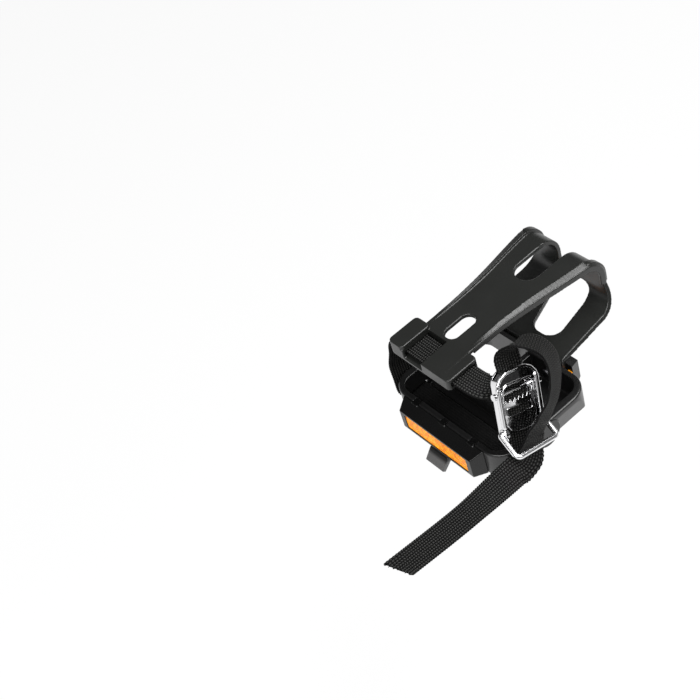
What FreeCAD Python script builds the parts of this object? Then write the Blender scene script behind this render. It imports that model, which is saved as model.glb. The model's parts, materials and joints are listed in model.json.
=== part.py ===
import FreeCAD, Part
import math
import os
from FreeCAD import Matrix, Placement, Rotation, Vector

# Right-hand platform pedal with toe clip and strap, in millimetres.
# X runs along the spindle, outboard positive, with x = 0 at the shoulder that seats on the crank.
# Y runs forward, towards the toe, and Z up. The spindle's axis is y = z = 0.

# Spindle
THREAD_DIAMETER = 14.288
THREAD_LENGTH = 14.0
THREAD_CHAMFER = 1.0
FLANGE_DIAMETER = 19.0
FLANGE_THICKNESS = 2.0
FLATS_DIAMETER = 17.4
FLATS_ACROSS = 15.0
FLATS_LENGTH = 7.0
SHAFT_ROOT_DIAMETER = 11.0
SHAFT_TIP_DIAMETER = 9.0
SPINDLE_END_DIAMETER = 7.0
SPINDLE_END_PAST_NUT = 1.5

# Bearings
BALL_DIAMETER = 3.97
RACE_CLEARANCE = 0.1
RACE_LAND_DEPTH = 1.2
INNER_BALL_CIRCLE = 14.2
INNER_BALL_COUNT = 11
INNER_CUP_LENGTH = 7.0
OUTER_BALL_CIRCLE = 13.4
OUTER_BALL_COUNT = 9
OUTER_CUP_LENGTH = 6.0
CUP_WALL = 1.3
OUTER_CUP_FROM_OUTBOARD = 19.0
SEAL_LENGTH = 2.6
SEAL_CLEARANCE = 0.3
CONE_PAST_CUP = 0.6
WASHER_THICKNESS = 1.0
WASHER_DIAMETER = 12.0
NUT_ACROSS = 11.0
NUT_LENGTH = 4.0
CHAMBER_DIAMETER = 19.0
THREAD_FIT = 0.02

# Dust cap
CAP_PLUG_LENGTH = 5.0
CAP_FLANGE_DIAMETER = 20.4
CAP_FLANGE_THICKNESS = 1.0
CAP_WALL = 1.8
CAP_FIT = 0.35

# Body
BODY_INBOARD = 11.0
BODY_WIDTH = 104.0
BODY_HALF_HEIGHT = 10.5
RAIL_Y = 40.0
RAIL_WALL = 4.0
SIDE_WALL = 6.0
CORNER_RADIUS = 15.0
EDGE_ROUND = 1.2
BARREL_DIAMETER = 21.0
RIB_THICKNESS = 4.0
RIB_DROP = 3.0
POCKET_FLOOR = 2.0
SCOOP_REAR_Y = 12.0
SCOOP_FRONT_Y = 37.0
SCOOP_FLOOR_Z = 1.5
TAB_WIDTH = 17.0
TAB_REACH = 15.0
TAB_DROP = 9.5
TAB_THICKNESS = 4.0
TAB_CLEARANCE = 0.4
SIDE_DRAFT_IN = 4.5
SIDE_DRAFT_UP = 17.0

# Reflectors
HOUSING_DEPTH = 9.0
HOUSING_BACK_WIDTH = 74.0
HOUSING_FRONT_WIDTH = 66.0
FRONT_REFLECTOR_NARROWER = 9.0
HOUSING_BACK_WALL = 2.5
HOUSING_BROW_DROP = 4.0
HOUSING_SOLE_RISE = 1.0
LENS_WIDTH = 57.0
LENS_HEIGHT = 12.0
LENS_BELOW_MIDDLE = 1.5
LENS_THICKNESS = 2.4
LENS_LEDGE = 2.0
LENS_FIT = 0.1
LENS_SINK = 0.5
CLIP_HOOK_COUNT = 3
CLIP_HOOK_PITCH = 26.0
CLIP_HOOK_WIDTH = 5.0
CLIP_HOOK_THICKNESS = 1.4
CLIP_HOOK_FIT = 0.1

# Screws that hold the reflectors and the toe clip
SCREW_DIAMETER = 5.0
SCREW_HOLE_FIT = 0.25
SCREW_SPACING = 32.0
SCREW_HEAD_DIAMETER = 8.6
SCREW_HEAD_HEIGHT = 2.8
SCREW_PAST_NUT = 0.8
SCREW_NUT_ACROSS = 8.0
SCREW_NUT_HEIGHT = 2.6
DRIVER_RECESS_WIDTH = 1.1
DRIVER_RECESS_LENGTH = 5.0
DRIVER_RECESS_DEPTH = 1.3

# Toe clip, moulded as one band that rises from the front rail and folds back over the toe
CLIP_OFFSET = -12.0
CLIP_THICKNESS = 3.0
CLIP_SOLE_Z = 13.0
CLIP_NOSE_Y = 93.5
CLIP_NOSE_SOLE_RISE = 6.0
CLIP_TOP_Z = 57.0
CLIP_TOP_REAR_DROP = 1.0
CLIP_FOOT_DROP = 9.0
CLIP_FOOT_BEND = 2.4
CLIP_SOLE_BEND = 14.0
CLIP_NOSE_BEND = 14.0
CLIP_SPLIT_Z = 36.0
CLIP_FOOT_HALF = 39.0
CLIP_NOSE_HALF = 30.0
CLIP_MIDDLE_HALF = 23.5
CLIP_WAIST_HALF = 20.5
CLIP_MIDDLE_Y = 41.0
CLIP_WAIST_Y = 4.0
CLIP_RIDGE_REAR_WIDTH = 1.8
CLIP_RIDGE_NOSE_WIDTH = 5.5
CLIP_RIDGE_INSET = 0.9
CLIP_RIDGE_HEIGHT = 1.6
CLIP_RIDGE_REAR_Y = -9.0
CLIP_LIP_WIDTH = 1.8
CLIP_LIP_DEPTH = 1.5
NOTCH_WIDTH = 18.0
NOTCH_REAR_Y = 50.0
NOTCH_BOTTOM_Z = 32.0
SOLE_HOLE_REAR_Y = 50.0
SOLE_HOLE_REAR_HALF = 10.2
SOLE_HOLE_REAR_OFFSET = 13.0
SOLE_HOLE_FRONT_HALF = 14.0
SOLE_HOLE_FRONT_OFFSET = 2.7
SOLE_HOLE_TOP_Z = 29.0
SOLE_HOLE_ROUND = 9.0
SOLE_HOLE_TOP_ROUND = 6.0
WAIST_HOLE_LENGTH = 23.0
WAIST_HOLE_WIDTH = 10.5
WAIST_HOLE_Y = -1.0

# Strap and the holder that carries it over the toe clip's rear end
STRAP_WIDTH = 19.0
STRAP_THICKNESS = 1.6
STRAP_Y = -25.0
STRAP_SLOT_Z = -5.5
STRAP_SLOT_SIDE_FIT = 0.7
STRAP_SLOT_FACE_FIT = 1.0
STRAP_SIDE_GAP = 1.8
STRAP_TAIL_LENGTH = 92.0
STRAP_TAIL_SLANT = 8.0
HOLDER_LENGTH = 55.0
HOLDER_WALL = 2.2
HOLDER_FLOOR = 2.0
HOLDER_WINDOW_LENGTH = 17.0
HOLDER_INBOARD_BRIDGE = 13.0
HOLDER_BRIDGE_RISE = 2.5
HOLDER_ROUND = 3.0

# Buckle, in its own frame: across, along (towards its top end) and out of its face
BUCKLE_FROM_MIDDLE = 47.9
BUCKLE_Y = -15.8
BUCKLE_BELOW_CLIP = 14.5
BUCKLE_UP = Vector(-0.340, 0.311, 0.889)
BUCKLE_ACROSS = Vector(0.092, 0.948, -0.303)
BUCKLE_LENGTH = 46.0
BUCKLE_PLATE = 1.2
BUCKLE_WALL = 1.4
BUCKLE_SIDE_FIT = 3.0
BUCKLE_FACE_FIT = 0.3
BUCKLE_WALL_TOP = 5.0
BUCKLE_TOP_BAR = 8.5
BUCKLE_END_ROUND = 8.0
BUCKLE_ROLL = 3.2
BUCKLE_ROLL_LOW = -9.5
BUCKLE_ROLL_HIGH = 14.5
CAM_PIN_DIAMETER = 2.4
CAM_PIN_ALONG = 10.0
CAM_PIN_OUT = 3.4
CAM_PIN_HEAD = 1.8
CAM_PIN_FIT = 0.06
CAM_SIDE_FIT = 0.4
CAM_PLATE = 1.3
CAM_ARM_WIDTH = 2.2
CAM_HUB_WALL = 0.9
CAM_TEETH_BELOW_PIN = 5.6
CAM_TOOTH_COUNT = 6
CAM_TOOTH_LENGTH = 1.4
CAM_TONGUE_LENGTH = 19.0
CAM_TONGUE_RISE = 1.6
CAM_TONGUE_HALF_WIDTH = 5.0
CAM_WAIST_FROM_TEETH = 8.0
CAM_SLOT_LENGTH = 2.6
CAM_SLOT_FROM_TEETH = 3.0
CAM_SLOT_MARGIN = 3.5
SPRING_WIRE = 0.7
SPRING_COILS = 3
SPRING_FIT = 0.15
SPRING_LEG = 3.2
BAIL_WIRE = 2.8
BAIL_LENGTH = 18.0
BAIL_SKEW = 3.0
BAIL_ALONG = -14.5
BAIL_OUT = 1.9
BAIL_REST_ANGLE = 52.0
BAIL_SIDE_GAP = 0.4
BAIL_EAR = 0.6
BAIL_EAR_BEND = 1.7
BAIL_EAR_WALL = 1.2
BAIL_PIN_FIT = 0.06
RIVET_DIAMETER = 3.2
RIVET_HEAD_DIAMETER = 5.6
RIVET_HEAD = 0.8
RIVET_ALONG = -11.0
RIVET_HOLE_FIT = 0.1

# Route of the strap's loop beside the buckle: across, along and out of its face, and the width's lean
STRAP_STEP = 6.0
STRAP_LOOP = [
    (-1.0, 32.5, 0.8, 0.05),
    (2.5, 38.0, 6.0, 0.26),
    (9.0, 37.5, 11.5, 0.51),
    (15.5, 32.0, 15.0, 0.65),
    (19.5, 22.5, 16.0, 0.61),
    (20.3, 10.0, 14.5, 0.58),
    (16.6, -1.5, 13.5, 0.51),
    (8.2, -11.5, 12.0, 0.42),
    (2.0, -19.5, 9.5, 0.21),
]

# Places worked out from the sizes above
BODY_OUTBOARD = BODY_INBOARD + BODY_WIDTH
MIDDLE_X = BODY_INBOARD + BODY_WIDTH / 2
CAP_SEAT_X = BODY_OUTBOARD - CAP_FLANGE_THICKNESS
CLIP_X = MIDDLE_X + CLIP_OFFSET
SLOT_WIDTH = STRAP_WIDTH + 2 * STRAP_SLOT_SIDE_FIT
CHANNEL_HEIGHT = STRAP_THICKNESS + 2 * STRAP_SLOT_FACE_FIT
BALL_RADIUS = BALL_DIAMETER / 2
RACE_RADIUS = BALL_RADIUS + RACE_CLEARANCE
INNER_CUP_BORE = INNER_BALL_CIRCLE / 2 + RACE_LAND_DEPTH
INNER_CUP_RADIUS = INNER_CUP_BORE + CUP_WALL
INNER_LAND_RADIUS = INNER_BALL_CIRCLE / 2 - RACE_LAND_DEPTH
INNER_CUP_X = BODY_INBOARD + SEAL_LENGTH
OUTER_CUP_BORE = OUTER_BALL_CIRCLE / 2 + RACE_LAND_DEPTH
OUTER_CUP_RADIUS = OUTER_CUP_BORE + CUP_WALL
OUTER_LAND_RADIUS = OUTER_BALL_CIRCLE / 2 - RACE_LAND_DEPTH
OUTER_CUP_X = BODY_OUTBOARD - OUTER_CUP_FROM_OUTBOARD
OUTER_CONE_END = OUTER_CUP_X + OUTER_CUP_LENGTH + CONE_PAST_CUP
NUT_X = OUTER_CONE_END + WASHER_THICKNESS
SPINDLE_END_X = NUT_X + NUT_LENGTH + SPINDLE_END_PAST_NUT
HOUSING_BROW_Z = BODY_HALF_HEIGHT - HOUSING_BROW_DROP
CLIP_FLANGE_Y = RAIL_Y + CLIP_THICKNESS
CLIP_REAR_Z = CLIP_TOP_Z - CLIP_TOP_REAR_DROP
STRAP_HOLDER_Z = CLIP_REAR_Z - CLIP_THICKNESS / 2 - CHANNEL_HEIGHT / 2
HOLDER_HALF_Y = SLOT_WIDTH / 2 + HOLDER_WALL
BUCKLE_CENTRE = Vector(MIDDLE_X + BUCKLE_FROM_MIDDLE, BUCKLE_Y, CLIP_TOP_Z - BUCKLE_BELOW_CLIP)
BUCKLE_HALF = STRAP_WIDTH / 2 + BUCKLE_SIDE_FIT
BUCKLE_FLOOR = -STRAP_THICKNESS / 2 - BUCKLE_FACE_FIT
BUCKLE_BACK = BUCKLE_FLOOR - BUCKLE_PLATE

X_AXIS = Vector(1, 0, 0)
Y_AXIS = Vector(0, 1, 0)
Z_AXIS = Vector(0, 0, 1)
FULL_TURN = 360.0
FAR = 200.0


def box(x0, x1, y0, y1, z0, z1):
    """Block between two corners."""
    return Part.makeBox(x1 - x0, y1 - y0, z1 - z0, Vector(x0, y0, z0))


def rod(radius, start, end):
    """Cylinder between two points."""
    axis = end - start
    return Part.makeCylinder(radius, axis.Length, start, axis)


def revolve_about_spindle(outline):
    """Solid turned about the spindle's axis from (x, radius) points."""
    points = [Vector(x, radius, 0) for x, radius in outline]
    face = Part.Face(Part.makePolygon(points + points[:1]))
    return face.revolve(Vector(0, 0, 0), X_AXIS, FULL_TURN)


def prism(points, along):
    """Solid pushed from a closed polygon along a vector."""
    return Part.Face(Part.makePolygon(points + points[:1])).extrude(along)


def rounded_plate(x0, x1, y0, y1, radius, z0, z1):
    """Plate with four round corners in plan."""
    plate = box(x0, x1, y0, y1, z0, z1)
    upright = [edge for edge in plate.Edges if abs(edge.tangentAt(edge.FirstParameter).z) > 0.5]
    return plate.makeFillet(radius, upright)


def hexagon(across, start, along):
    """Hexagonal bar between two faces."""
    side = along.cross(Z_AXIS).normalize() if abs(along.normalize().z) < 0.5 else X_AXIS
    other = along.cross(side)
    corner = across / math.sqrt(3)
    turns = [math.radians(60 * k) for k in range(6)]
    return [start + side * (corner * math.cos(t)) + other * (corner * math.sin(t)) for t in turns]


def rounded_path(points, radii):
    """Wire of straight runs joined by tangent arcs; one radius for each inner point."""
    edges = []
    start = points[0]
    for before, corner, after, radius in zip(points, points[1:], points[2:], radii):
        to_before = (before - corner).normalize()
        to_after = (after - corner).normalize()
        half = to_before.getAngle(to_after) / 2
        cut = radius / math.tan(half)
        centre = corner + (to_before + to_after).normalize() * (radius / math.sin(half))
        first = corner + to_before * cut
        last = corner + to_after * cut
        middle = centre + (corner - centre).normalize() * radius
        edges.append(Part.LineSegment(start, first).toShape())
        edges.append(Part.Arc(first, middle, last).toShape())
        start = last
    edges.append(Part.LineSegment(start, points[-1]).toShape())
    return Part.Wire(edges)


def ball_ring(count, circle, x):
    """Loose balls spaced evenly on a circle about the spindle."""
    balls = []
    for k in range(count):
        turn = 2 * math.pi * k / count
        centre = Vector(x, circle / 2 * math.cos(turn), circle / 2 * math.sin(turn))
        balls.append(Part.makeSphere(BALL_RADIUS, centre))
    return Part.makeCompound(balls)


def race_groove(circle, x):
    """Ring that the balls roll in, a little larger than they are."""
    return Part.makeTorus(circle / 2, RACE_RADIUS, Vector(x, 0, 0), X_AXIS)


def make_spindle():
    flats_end = FLANGE_THICKNESS + FLATS_LENGTH
    land_end = INNER_CUP_X + INNER_CUP_LENGTH
    outline = [
        (-THREAD_LENGTH, 0),
        (-THREAD_LENGTH, THREAD_DIAMETER / 2 - THREAD_CHAMFER),
        (-THREAD_LENGTH + THREAD_CHAMFER, THREAD_DIAMETER / 2),
        (0, THREAD_DIAMETER / 2),
        (0, FLANGE_DIAMETER / 2),
        (FLANGE_THICKNESS, FLANGE_DIAMETER / 2),
        (FLANGE_THICKNESS, FLATS_DIAMETER / 2),
        (flats_end, FLATS_DIAMETER / 2),
        (flats_end, INNER_LAND_RADIUS),
        (land_end, INNER_LAND_RADIUS),
        (land_end, SHAFT_ROOT_DIAMETER / 2),
        (OUTER_CUP_X, SHAFT_TIP_DIAMETER / 2),
        (OUTER_CUP_X, SPINDLE_END_DIAMETER / 2),
        (SPINDLE_END_X, SPINDLE_END_DIAMETER / 2),
        (SPINDLE_END_X, 0),
    ]
    spindle = revolve_about_spindle(outline)
    spindle = spindle.cut(race_groove(INNER_BALL_CIRCLE, INNER_CUP_X + INNER_CUP_LENGTH / 2))
    for side in (-1, 1):
        low, high = sorted((side * FLATS_ACROSS / 2, side * FLANGE_DIAMETER))
        spindle = spindle.cut(box(FLANGE_THICKNESS, flats_end, -FLANGE_DIAMETER, FLANGE_DIAMETER, low, high))
    return spindle


def make_cup(x, length, bore, radius, circle):
    """Pressed bearing cup with the balls' race in its bore."""
    cup = rod(radius, Vector(x, 0, 0), Vector(x + length, 0, 0))
    cup = cup.cut(rod(bore, Vector(x, 0, 0), Vector(x + length, 0, 0)))
    return cup.cut(race_groove(circle, x + length / 2))


def make_outer_cone():
    start = Vector(OUTER_CUP_X, 0, 0)
    end = Vector(OUTER_CONE_END, 0, 0)
    cone = rod(OUTER_LAND_RADIUS, start, end).cut(rod(SPINDLE_END_DIAMETER / 2 + THREAD_FIT, start, end))
    return cone.cut(race_groove(OUTER_BALL_CIRCLE, OUTER_CUP_X + OUTER_CUP_LENGTH / 2))


def make_lock_washer():
    start = Vector(OUTER_CONE_END, 0, 0)
    end = Vector(NUT_X, 0, 0)
    return rod(WASHER_DIAMETER / 2, start, end).cut(rod(SPINDLE_END_DIAMETER / 2 + THREAD_FIT, start, end))


def make_lock_nut():
    start = Vector(NUT_X, 0, 0)
    end = Vector(NUT_X + NUT_LENGTH, 0, 0)
    nut = prism(hexagon(NUT_ACROSS, start, Vector(1, 0, 0)), X_AXIS * NUT_LENGTH)
    return nut.cut(rod(SPINDLE_END_DIAMETER / 2 + THREAD_FIT, start, end))


def make_seal():
    start = Vector(BODY_INBOARD, 0, 0)
    end = Vector(BODY_INBOARD + SEAL_LENGTH, 0, 0)
    return rod(INNER_CUP_RADIUS, start, end).cut(rod(INNER_LAND_RADIUS + SEAL_CLEARANCE, start, end))


def make_dust_cap():
    plug_radius = CHAMBER_DIAMETER / 2
    outline = [
        (CAP_SEAT_X - CAP_PLUG_LENGTH, plug_radius),
        (CAP_SEAT_X, plug_radius),
        (CAP_SEAT_X, CAP_FLANGE_DIAMETER / 2),
        (CAP_SEAT_X + CAP_FLANGE_THICKNESS / 2, CAP_FLANGE_DIAMETER / 2),
        (BODY_OUTBOARD, CAP_FLANGE_DIAMETER / 2 - CAP_FLANGE_THICKNESS / 2),
        (BODY_OUTBOARD, 0),
        (BODY_OUTBOARD - CAP_WALL, 0),
        (BODY_OUTBOARD - CAP_WALL, plug_radius - CAP_WALL),
        (CAP_SEAT_X - CAP_PLUG_LENGTH, plug_radius - CAP_WALL),
    ]
    return revolve_about_spindle(outline)


def screw_places():
    return [MIDDLE_X - SCREW_SPACING / 2, MIDDLE_X + SCREW_SPACING / 2]


def hook_places():
    first = -(CLIP_HOOK_COUNT - 1) / 2
    return [MIDDLE_X + (first + k) * CLIP_HOOK_PITCH for k in range(CLIP_HOOK_COUNT)]


def make_flip_tab():
    """Tongue under the rear rail that the toe catches to turn the pedal over."""
    root_top = -BODY_HALF_HEIGHT
    top = root_top - TAB_CLEARANCE
    rail_in = -RAIL_Y + RAIL_WALL
    tip_y = -RAIL_Y - TAB_REACH
    knee_y = -RAIL_Y - HOUSING_DEPTH
    side = MIDDLE_X - TAB_WIDTH / 2
    profile = [
        (rail_in, root_top),
        (-RAIL_Y, root_top),
        (-RAIL_Y, top),
        (knee_y, top),
        (tip_y, top - TAB_DROP + TAB_THICKNESS / 2),
        (tip_y + TAB_THICKNESS / 2, top - TAB_DROP),
        (knee_y + TAB_THICKNESS / 2, top - TAB_THICKNESS),
        (rail_in, top - TAB_THICKNESS / 2),
    ]
    return prism([Vector(side, y, z) for y, z in profile], X_AXIS * TAB_WIDTH)


def make_body():
    high = BODY_HALF_HEIGHT
    outer = rounded_plate(BODY_INBOARD, BODY_OUTBOARD, -RAIL_Y, RAIL_Y, CORNER_RADIUS, -high, high)
    rims = [edge for edge in outer.Edges if abs(abs(edge.CenterOfMass.z) - high) < EDGE_ROUND / 2]
    outer = outer.makeFillet(EDGE_ROUND, rims)
    pocket = rounded_plate(BODY_INBOARD + SIDE_WALL, BODY_OUTBOARD - SIDE_WALL, -RAIL_Y + RAIL_WALL,
                           RAIL_Y - RAIL_WALL, CORNER_RADIUS - SIDE_WALL, -high, high)
    drafts = []
    for x, inward in ((BODY_INBOARD, 1), (BODY_OUTBOARD, -1)):
        wedge = [
            Vector(x, -RAIL_Y, -high + SIDE_DRAFT_UP),
            Vector(x, -RAIL_Y, -high),
            Vector(x + inward * SIDE_DRAFT_IN, -RAIL_Y, -high),
        ]
        drafts.append(prism(wedge, Y_AXIS * (2 * RAIL_Y)))
    frame = outer.cut([pocket] + drafts)
    barrel = rod(BARREL_DIAMETER / 2, Vector(BODY_INBOARD, 0, 0), Vector(BODY_OUTBOARD, 0, 0))
    rib = box(MIDDLE_X - RIB_THICKNESS / 2, MIDDLE_X + RIB_THICKNESS / 2, 0, RAIL_Y - RAIL_WALL,
              -high + RIB_DROP, high - RIB_DROP)
    floor_top = -high + POCKET_FLOOR
    rear_floor = box(BODY_INBOARD + SIDE_WALL, BODY_OUTBOARD - SIDE_WALL, -RAIL_Y + RAIL_WALL, 0, -high, floor_top)
    front_floor = box(MIDDLE_X, BODY_OUTBOARD - SIDE_WALL, 0, RAIL_Y - RAIL_WALL, -high, floor_top)
    body = frame.fuse([barrel, rib, rear_floor, front_floor, make_flip_tab()])
    main_bore = SHAFT_ROOT_DIAMETER / 2 + (OUTER_CUP_BORE - SHAFT_TIP_DIAMETER / 2)
    chamber_x = OUTER_CUP_X + OUTER_CUP_LENGTH
    cuts = [
        rod(main_bore, Vector(BODY_INBOARD, 0, 0), Vector(BODY_OUTBOARD, 0, 0)),
        rod(INNER_CUP_RADIUS, Vector(BODY_INBOARD, 0, 0), Vector(INNER_CUP_X + INNER_CUP_LENGTH, 0, 0)),
        rod(OUTER_CUP_RADIUS, Vector(OUTER_CUP_X, 0, 0), Vector(chamber_x, 0, 0)),
        rod(CHAMBER_DIAMETER / 2, Vector(chamber_x, 0, 0), Vector(BODY_OUTBOARD, 0, 0)),
        rod(CAP_FLANGE_DIAMETER / 2 + CAP_FIT, Vector(CAP_SEAT_X, 0, 0), Vector(BODY_OUTBOARD, 0, 0)),
        box(BODY_INBOARD, BODY_INBOARD + SIDE_WALL, SCOOP_REAR_Y, SCOOP_FRONT_Y, SCOOP_FLOOR_Z, high),
        box(BODY_INBOARD, BODY_OUTBOARD, STRAP_Y - SLOT_WIDTH / 2, STRAP_Y + SLOT_WIDTH / 2,
            STRAP_SLOT_Z - CHANNEL_HEIGHT / 2, STRAP_SLOT_Z + CHANNEL_HEIGHT / 2),
    ]
    for x in screw_places():
        hole = SCREW_DIAMETER / 2 + SCREW_HOLE_FIT
        cuts.append(rod(hole, Vector(x, -RAIL_Y, 0), Vector(x, -RAIL_Y + RAIL_WALL, 0)))
        cuts.append(rod(hole, Vector(x, RAIL_Y - RAIL_WALL, 0), Vector(x, RAIL_Y, 0)))
    for x in hook_places():
        half = CLIP_HOOK_WIDTH / 2 + CLIP_HOOK_FIT
        floor = high - CLIP_HOOK_THICKNESS - CLIP_HOOK_FIT
        cuts.append(box(x - half, x + half, -RAIL_Y, -RAIL_Y + RAIL_WALL, floor, high))
    return body.cut(cuts)


def housing_outline(width, z_top, z_bottom, y):
    half = width / 2
    points = [Vector(-half, y, z_bottom), Vector(half, y, z_bottom), Vector(half, y, z_top), Vector(-half, y, z_top)]
    return Part.makePolygon(points + points[:1])


def place_reflector(shape, y_back, rear):
    """Moves a reflector piece, drawn facing rearward at the origin, to its rail."""
    if not rear:
        shape = shape.rotated(Vector(0, 0, 0), Z_AXIS, FULL_TURN / 2)
    return shape.translated(Vector(MIDDLE_X, y_back, 0))


def reflector_narrower(rear):
    return 0 if rear else FRONT_REFLECTOR_NARROWER


def make_housing(y_back, rear):
    """Hollow reflector housing with a sloping brow, a recess for the lens and a flat back wall."""
    high = BODY_HALF_HEIGHT
    less = reflector_narrower(rear)
    shell = Part.makeLoft([
        housing_outline(HOUSING_BACK_WIDTH - less, high, -high, 0),
        housing_outline(HOUSING_FRONT_WIDTH - less, HOUSING_BROW_Z, -high + HOUSING_SOLE_RISE, -HOUSING_DEPTH),
    ], True, True)
    half = (LENS_WIDTH - less) / 2
    top = LENS_HEIGHT / 2 - LENS_BELOW_MIDDLE
    bottom = -LENS_HEIGHT / 2 - LENS_BELOW_MIDDLE
    seat_y = -HOUSING_DEPTH + LENS_SINK + LENS_THICKNESS
    recess = box(-half - LENS_FIT, half + LENS_FIT, -HOUSING_DEPTH, seat_y, bottom - LENS_FIT, top + LENS_FIT)
    cavity = box(-half + LENS_LEDGE, half - LENS_LEDGE, seat_y, -HOUSING_BACK_WALL, bottom + LENS_LEDGE,
                 top - LENS_LEDGE)
    cuts = [recess, cavity]
    nut_radius = SCREW_NUT_ACROSS / math.sqrt(3)
    for x in screw_places():
        local = x - MIDDLE_X
        cuts.append(rod(SCREW_DIAMETER / 2 + SCREW_HOLE_FIT, Vector(local, -HOUSING_BACK_WALL, 0), Vector(local, 0, 0)))
        cuts.append(rod(nut_radius + SCREW_HOLE_FIT, Vector(local, seat_y, 0), Vector(local, -HOUSING_BACK_WALL, 0)))
    shell = shell.cut(cuts)
    if rear:
        hooks = []
        for x in hook_places():
            local = x - MIDDLE_X
            hooks.append(box(local - CLIP_HOOK_WIDTH / 2, local + CLIP_HOOK_WIDTH / 2, -CLIP_HOOK_THICKNESS,
                             RAIL_WALL, high - CLIP_HOOK_THICKNESS, high))
        shell = shell.fuse(hooks)
    return place_reflector(shell, y_back, rear)


def make_lens(y_back, rear):
    half = (LENS_WIDTH - reflector_narrower(rear)) / 2
    outer_y = -HOUSING_DEPTH + LENS_SINK
    lens = box(-half, half, outer_y, outer_y + LENS_THICKNESS, -LENS_HEIGHT / 2 - LENS_BELOW_MIDDLE,
               LENS_HEIGHT / 2 - LENS_BELOW_MIDDLE)
    return place_reflector(lens, y_back, rear)


def make_screw(x, inner_y, outward, grip):
    """Pan-head screw whose head bears on the rail's inner face, with its thread pointing outward."""
    seat = Vector(x, inner_y, 0)
    length = grip + SCREW_NUT_HEIGHT + SCREW_PAST_NUT
    screw = rod(SCREW_DIAMETER / 2, seat, seat + outward * length)
    head = rod(SCREW_HEAD_DIAMETER / 2, seat - outward * SCREW_HEAD_HEIGHT, seat)
    crown = [edge for edge in head.Edges if (edge.CenterOfMass - seat).Length > SCREW_HEAD_HEIGHT / 2 and edge.Closed]
    head = head.makeFillet(SCREW_HEAD_HEIGHT / 2, crown)
    top = seat - outward * SCREW_HEAD_HEIGHT
    bottom = top + outward * DRIVER_RECESS_DEPTH
    low, high = sorted((top.y, bottom.y))
    for wide, tall in ((DRIVER_RECESS_LENGTH, DRIVER_RECESS_WIDTH), (DRIVER_RECESS_WIDTH, DRIVER_RECESS_LENGTH)):
        head = head.cut(box(x - wide / 2, x + wide / 2, low, high, -tall / 2, tall / 2))
    return screw.fuse(head)


def make_nut(x, start_y, outward):
    start = Vector(x, start_y, 0)
    nut = prism(hexagon(SCREW_NUT_ACROSS, start, outward * 1.0), outward * SCREW_NUT_HEIGHT)
    return nut.cut(rod(SCREW_DIAMETER / 2 + THREAD_FIT, start, start + outward * SCREW_NUT_HEIGHT))


def make_fasteners(rear):
    """Two screws and two nuts for one rail; the front pair also clamps the toe clip's foot."""
    outward = Y_AXIS * (-1 if rear else 1)
    grip = RAIL_WALL + HOUSING_BACK_WALL + (0 if rear else CLIP_THICKNESS)
    inner_y = outward.y * (RAIL_Y - RAIL_WALL)
    screws = [make_screw(x, inner_y, outward, grip) for x in screw_places()]
    nuts = [make_nut(x, inner_y + outward.y * grip, outward) for x in screw_places()]
    return Part.makeCompound(screws), Part.makeCompound(nuts)


def clip_path():
    """Side view of the toe clip's band, from its foot on the rail over the toe to the strap holder."""
    foot_y = RAIL_Y + CLIP_THICKNESS / 2
    corners = [
        (foot_y, -CLIP_FOOT_DROP),
        (foot_y, CLIP_SOLE_Z),
        (CLIP_NOSE_Y, CLIP_SOLE_Z + CLIP_NOSE_SOLE_RISE),
        (CLIP_NOSE_Y, CLIP_TOP_Z),
        (STRAP_Y - HOLDER_HALF_Y, CLIP_REAR_Z),
    ]
    points = [Vector(CLIP_X, y, z) for y, z in corners]
    return rounded_path(points, [CLIP_FOOT_BEND, CLIP_SOLE_BEND, CLIP_NOSE_BEND])


def clip_band(inside, outside):
    """Band swept along the clip's side view, between two offsets from its middle surface."""
    path = clip_path()
    start = path.OrderedVertexes[0].Point
    half = CLIP_FOOT_HALF + CLIP_NOSE_HALF
    section = [
        start + Vector(-half, inside, 0),
        start + Vector(half, inside, 0),
        start + Vector(half, outside, 0),
        start + Vector(-half, outside, 0),
    ]
    return path.makePipeShell([Part.makePolygon(section + section[:1])], True, False)


def clip_plan(rear_y, rear_inset, nose_inset):
    """Plan of the clip above the split, waisted behind the toe and drawn in by an inset, as a tall solid."""
    stations = [
        (STRAP_Y - HOLDER_HALF_Y, CLIP_WAIST_HALF),
        (CLIP_WAIST_Y, CLIP_WAIST_HALF),
        (CLIP_MIDDLE_Y, CLIP_MIDDLE_HALF),
        ((CLIP_MIDDLE_Y + CLIP_NOSE_Y) / 2, (CLIP_MIDDLE_HALF + CLIP_NOSE_HALF) / 2 + 1),
        (CLIP_NOSE_Y + CLIP_NOSE_BEND, CLIP_NOSE_HALF),
    ]
    nose_y = stations[-1][0]
    sides = []
    for side in (-1, 1):
        places = []
        for y, half in stations:
            share = max(0, (y - rear_y) / (nose_y - rear_y))
            inset = rear_inset + (nose_inset - rear_inset) * share
            places.append(Vector(CLIP_X + side * (half - inset), y, CLIP_SPLIT_Z))
        curve = Part.BSplineCurve()
        curve.interpolate(places)
        sides.append(curve.toShape())
    left, right = sides
    rear = Part.makeLine(left.Vertexes[0].Point, right.Vertexes[0].Point)
    front = Part.makeLine(left.Vertexes[-1].Point, right.Vertexes[-1].Point)
    outline = Part.Wire(Part.__sortEdges__([left, front, right, rear]))
    plan = Part.Face(outline).extrude(Z_AXIS * FAR)
    return plan.common(box(CLIP_X - FAR, CLIP_X + FAR, rear_y, rear_y + 2 * FAR, CLIP_SPLIT_Z, CLIP_SPLIT_Z + FAR))


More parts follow.
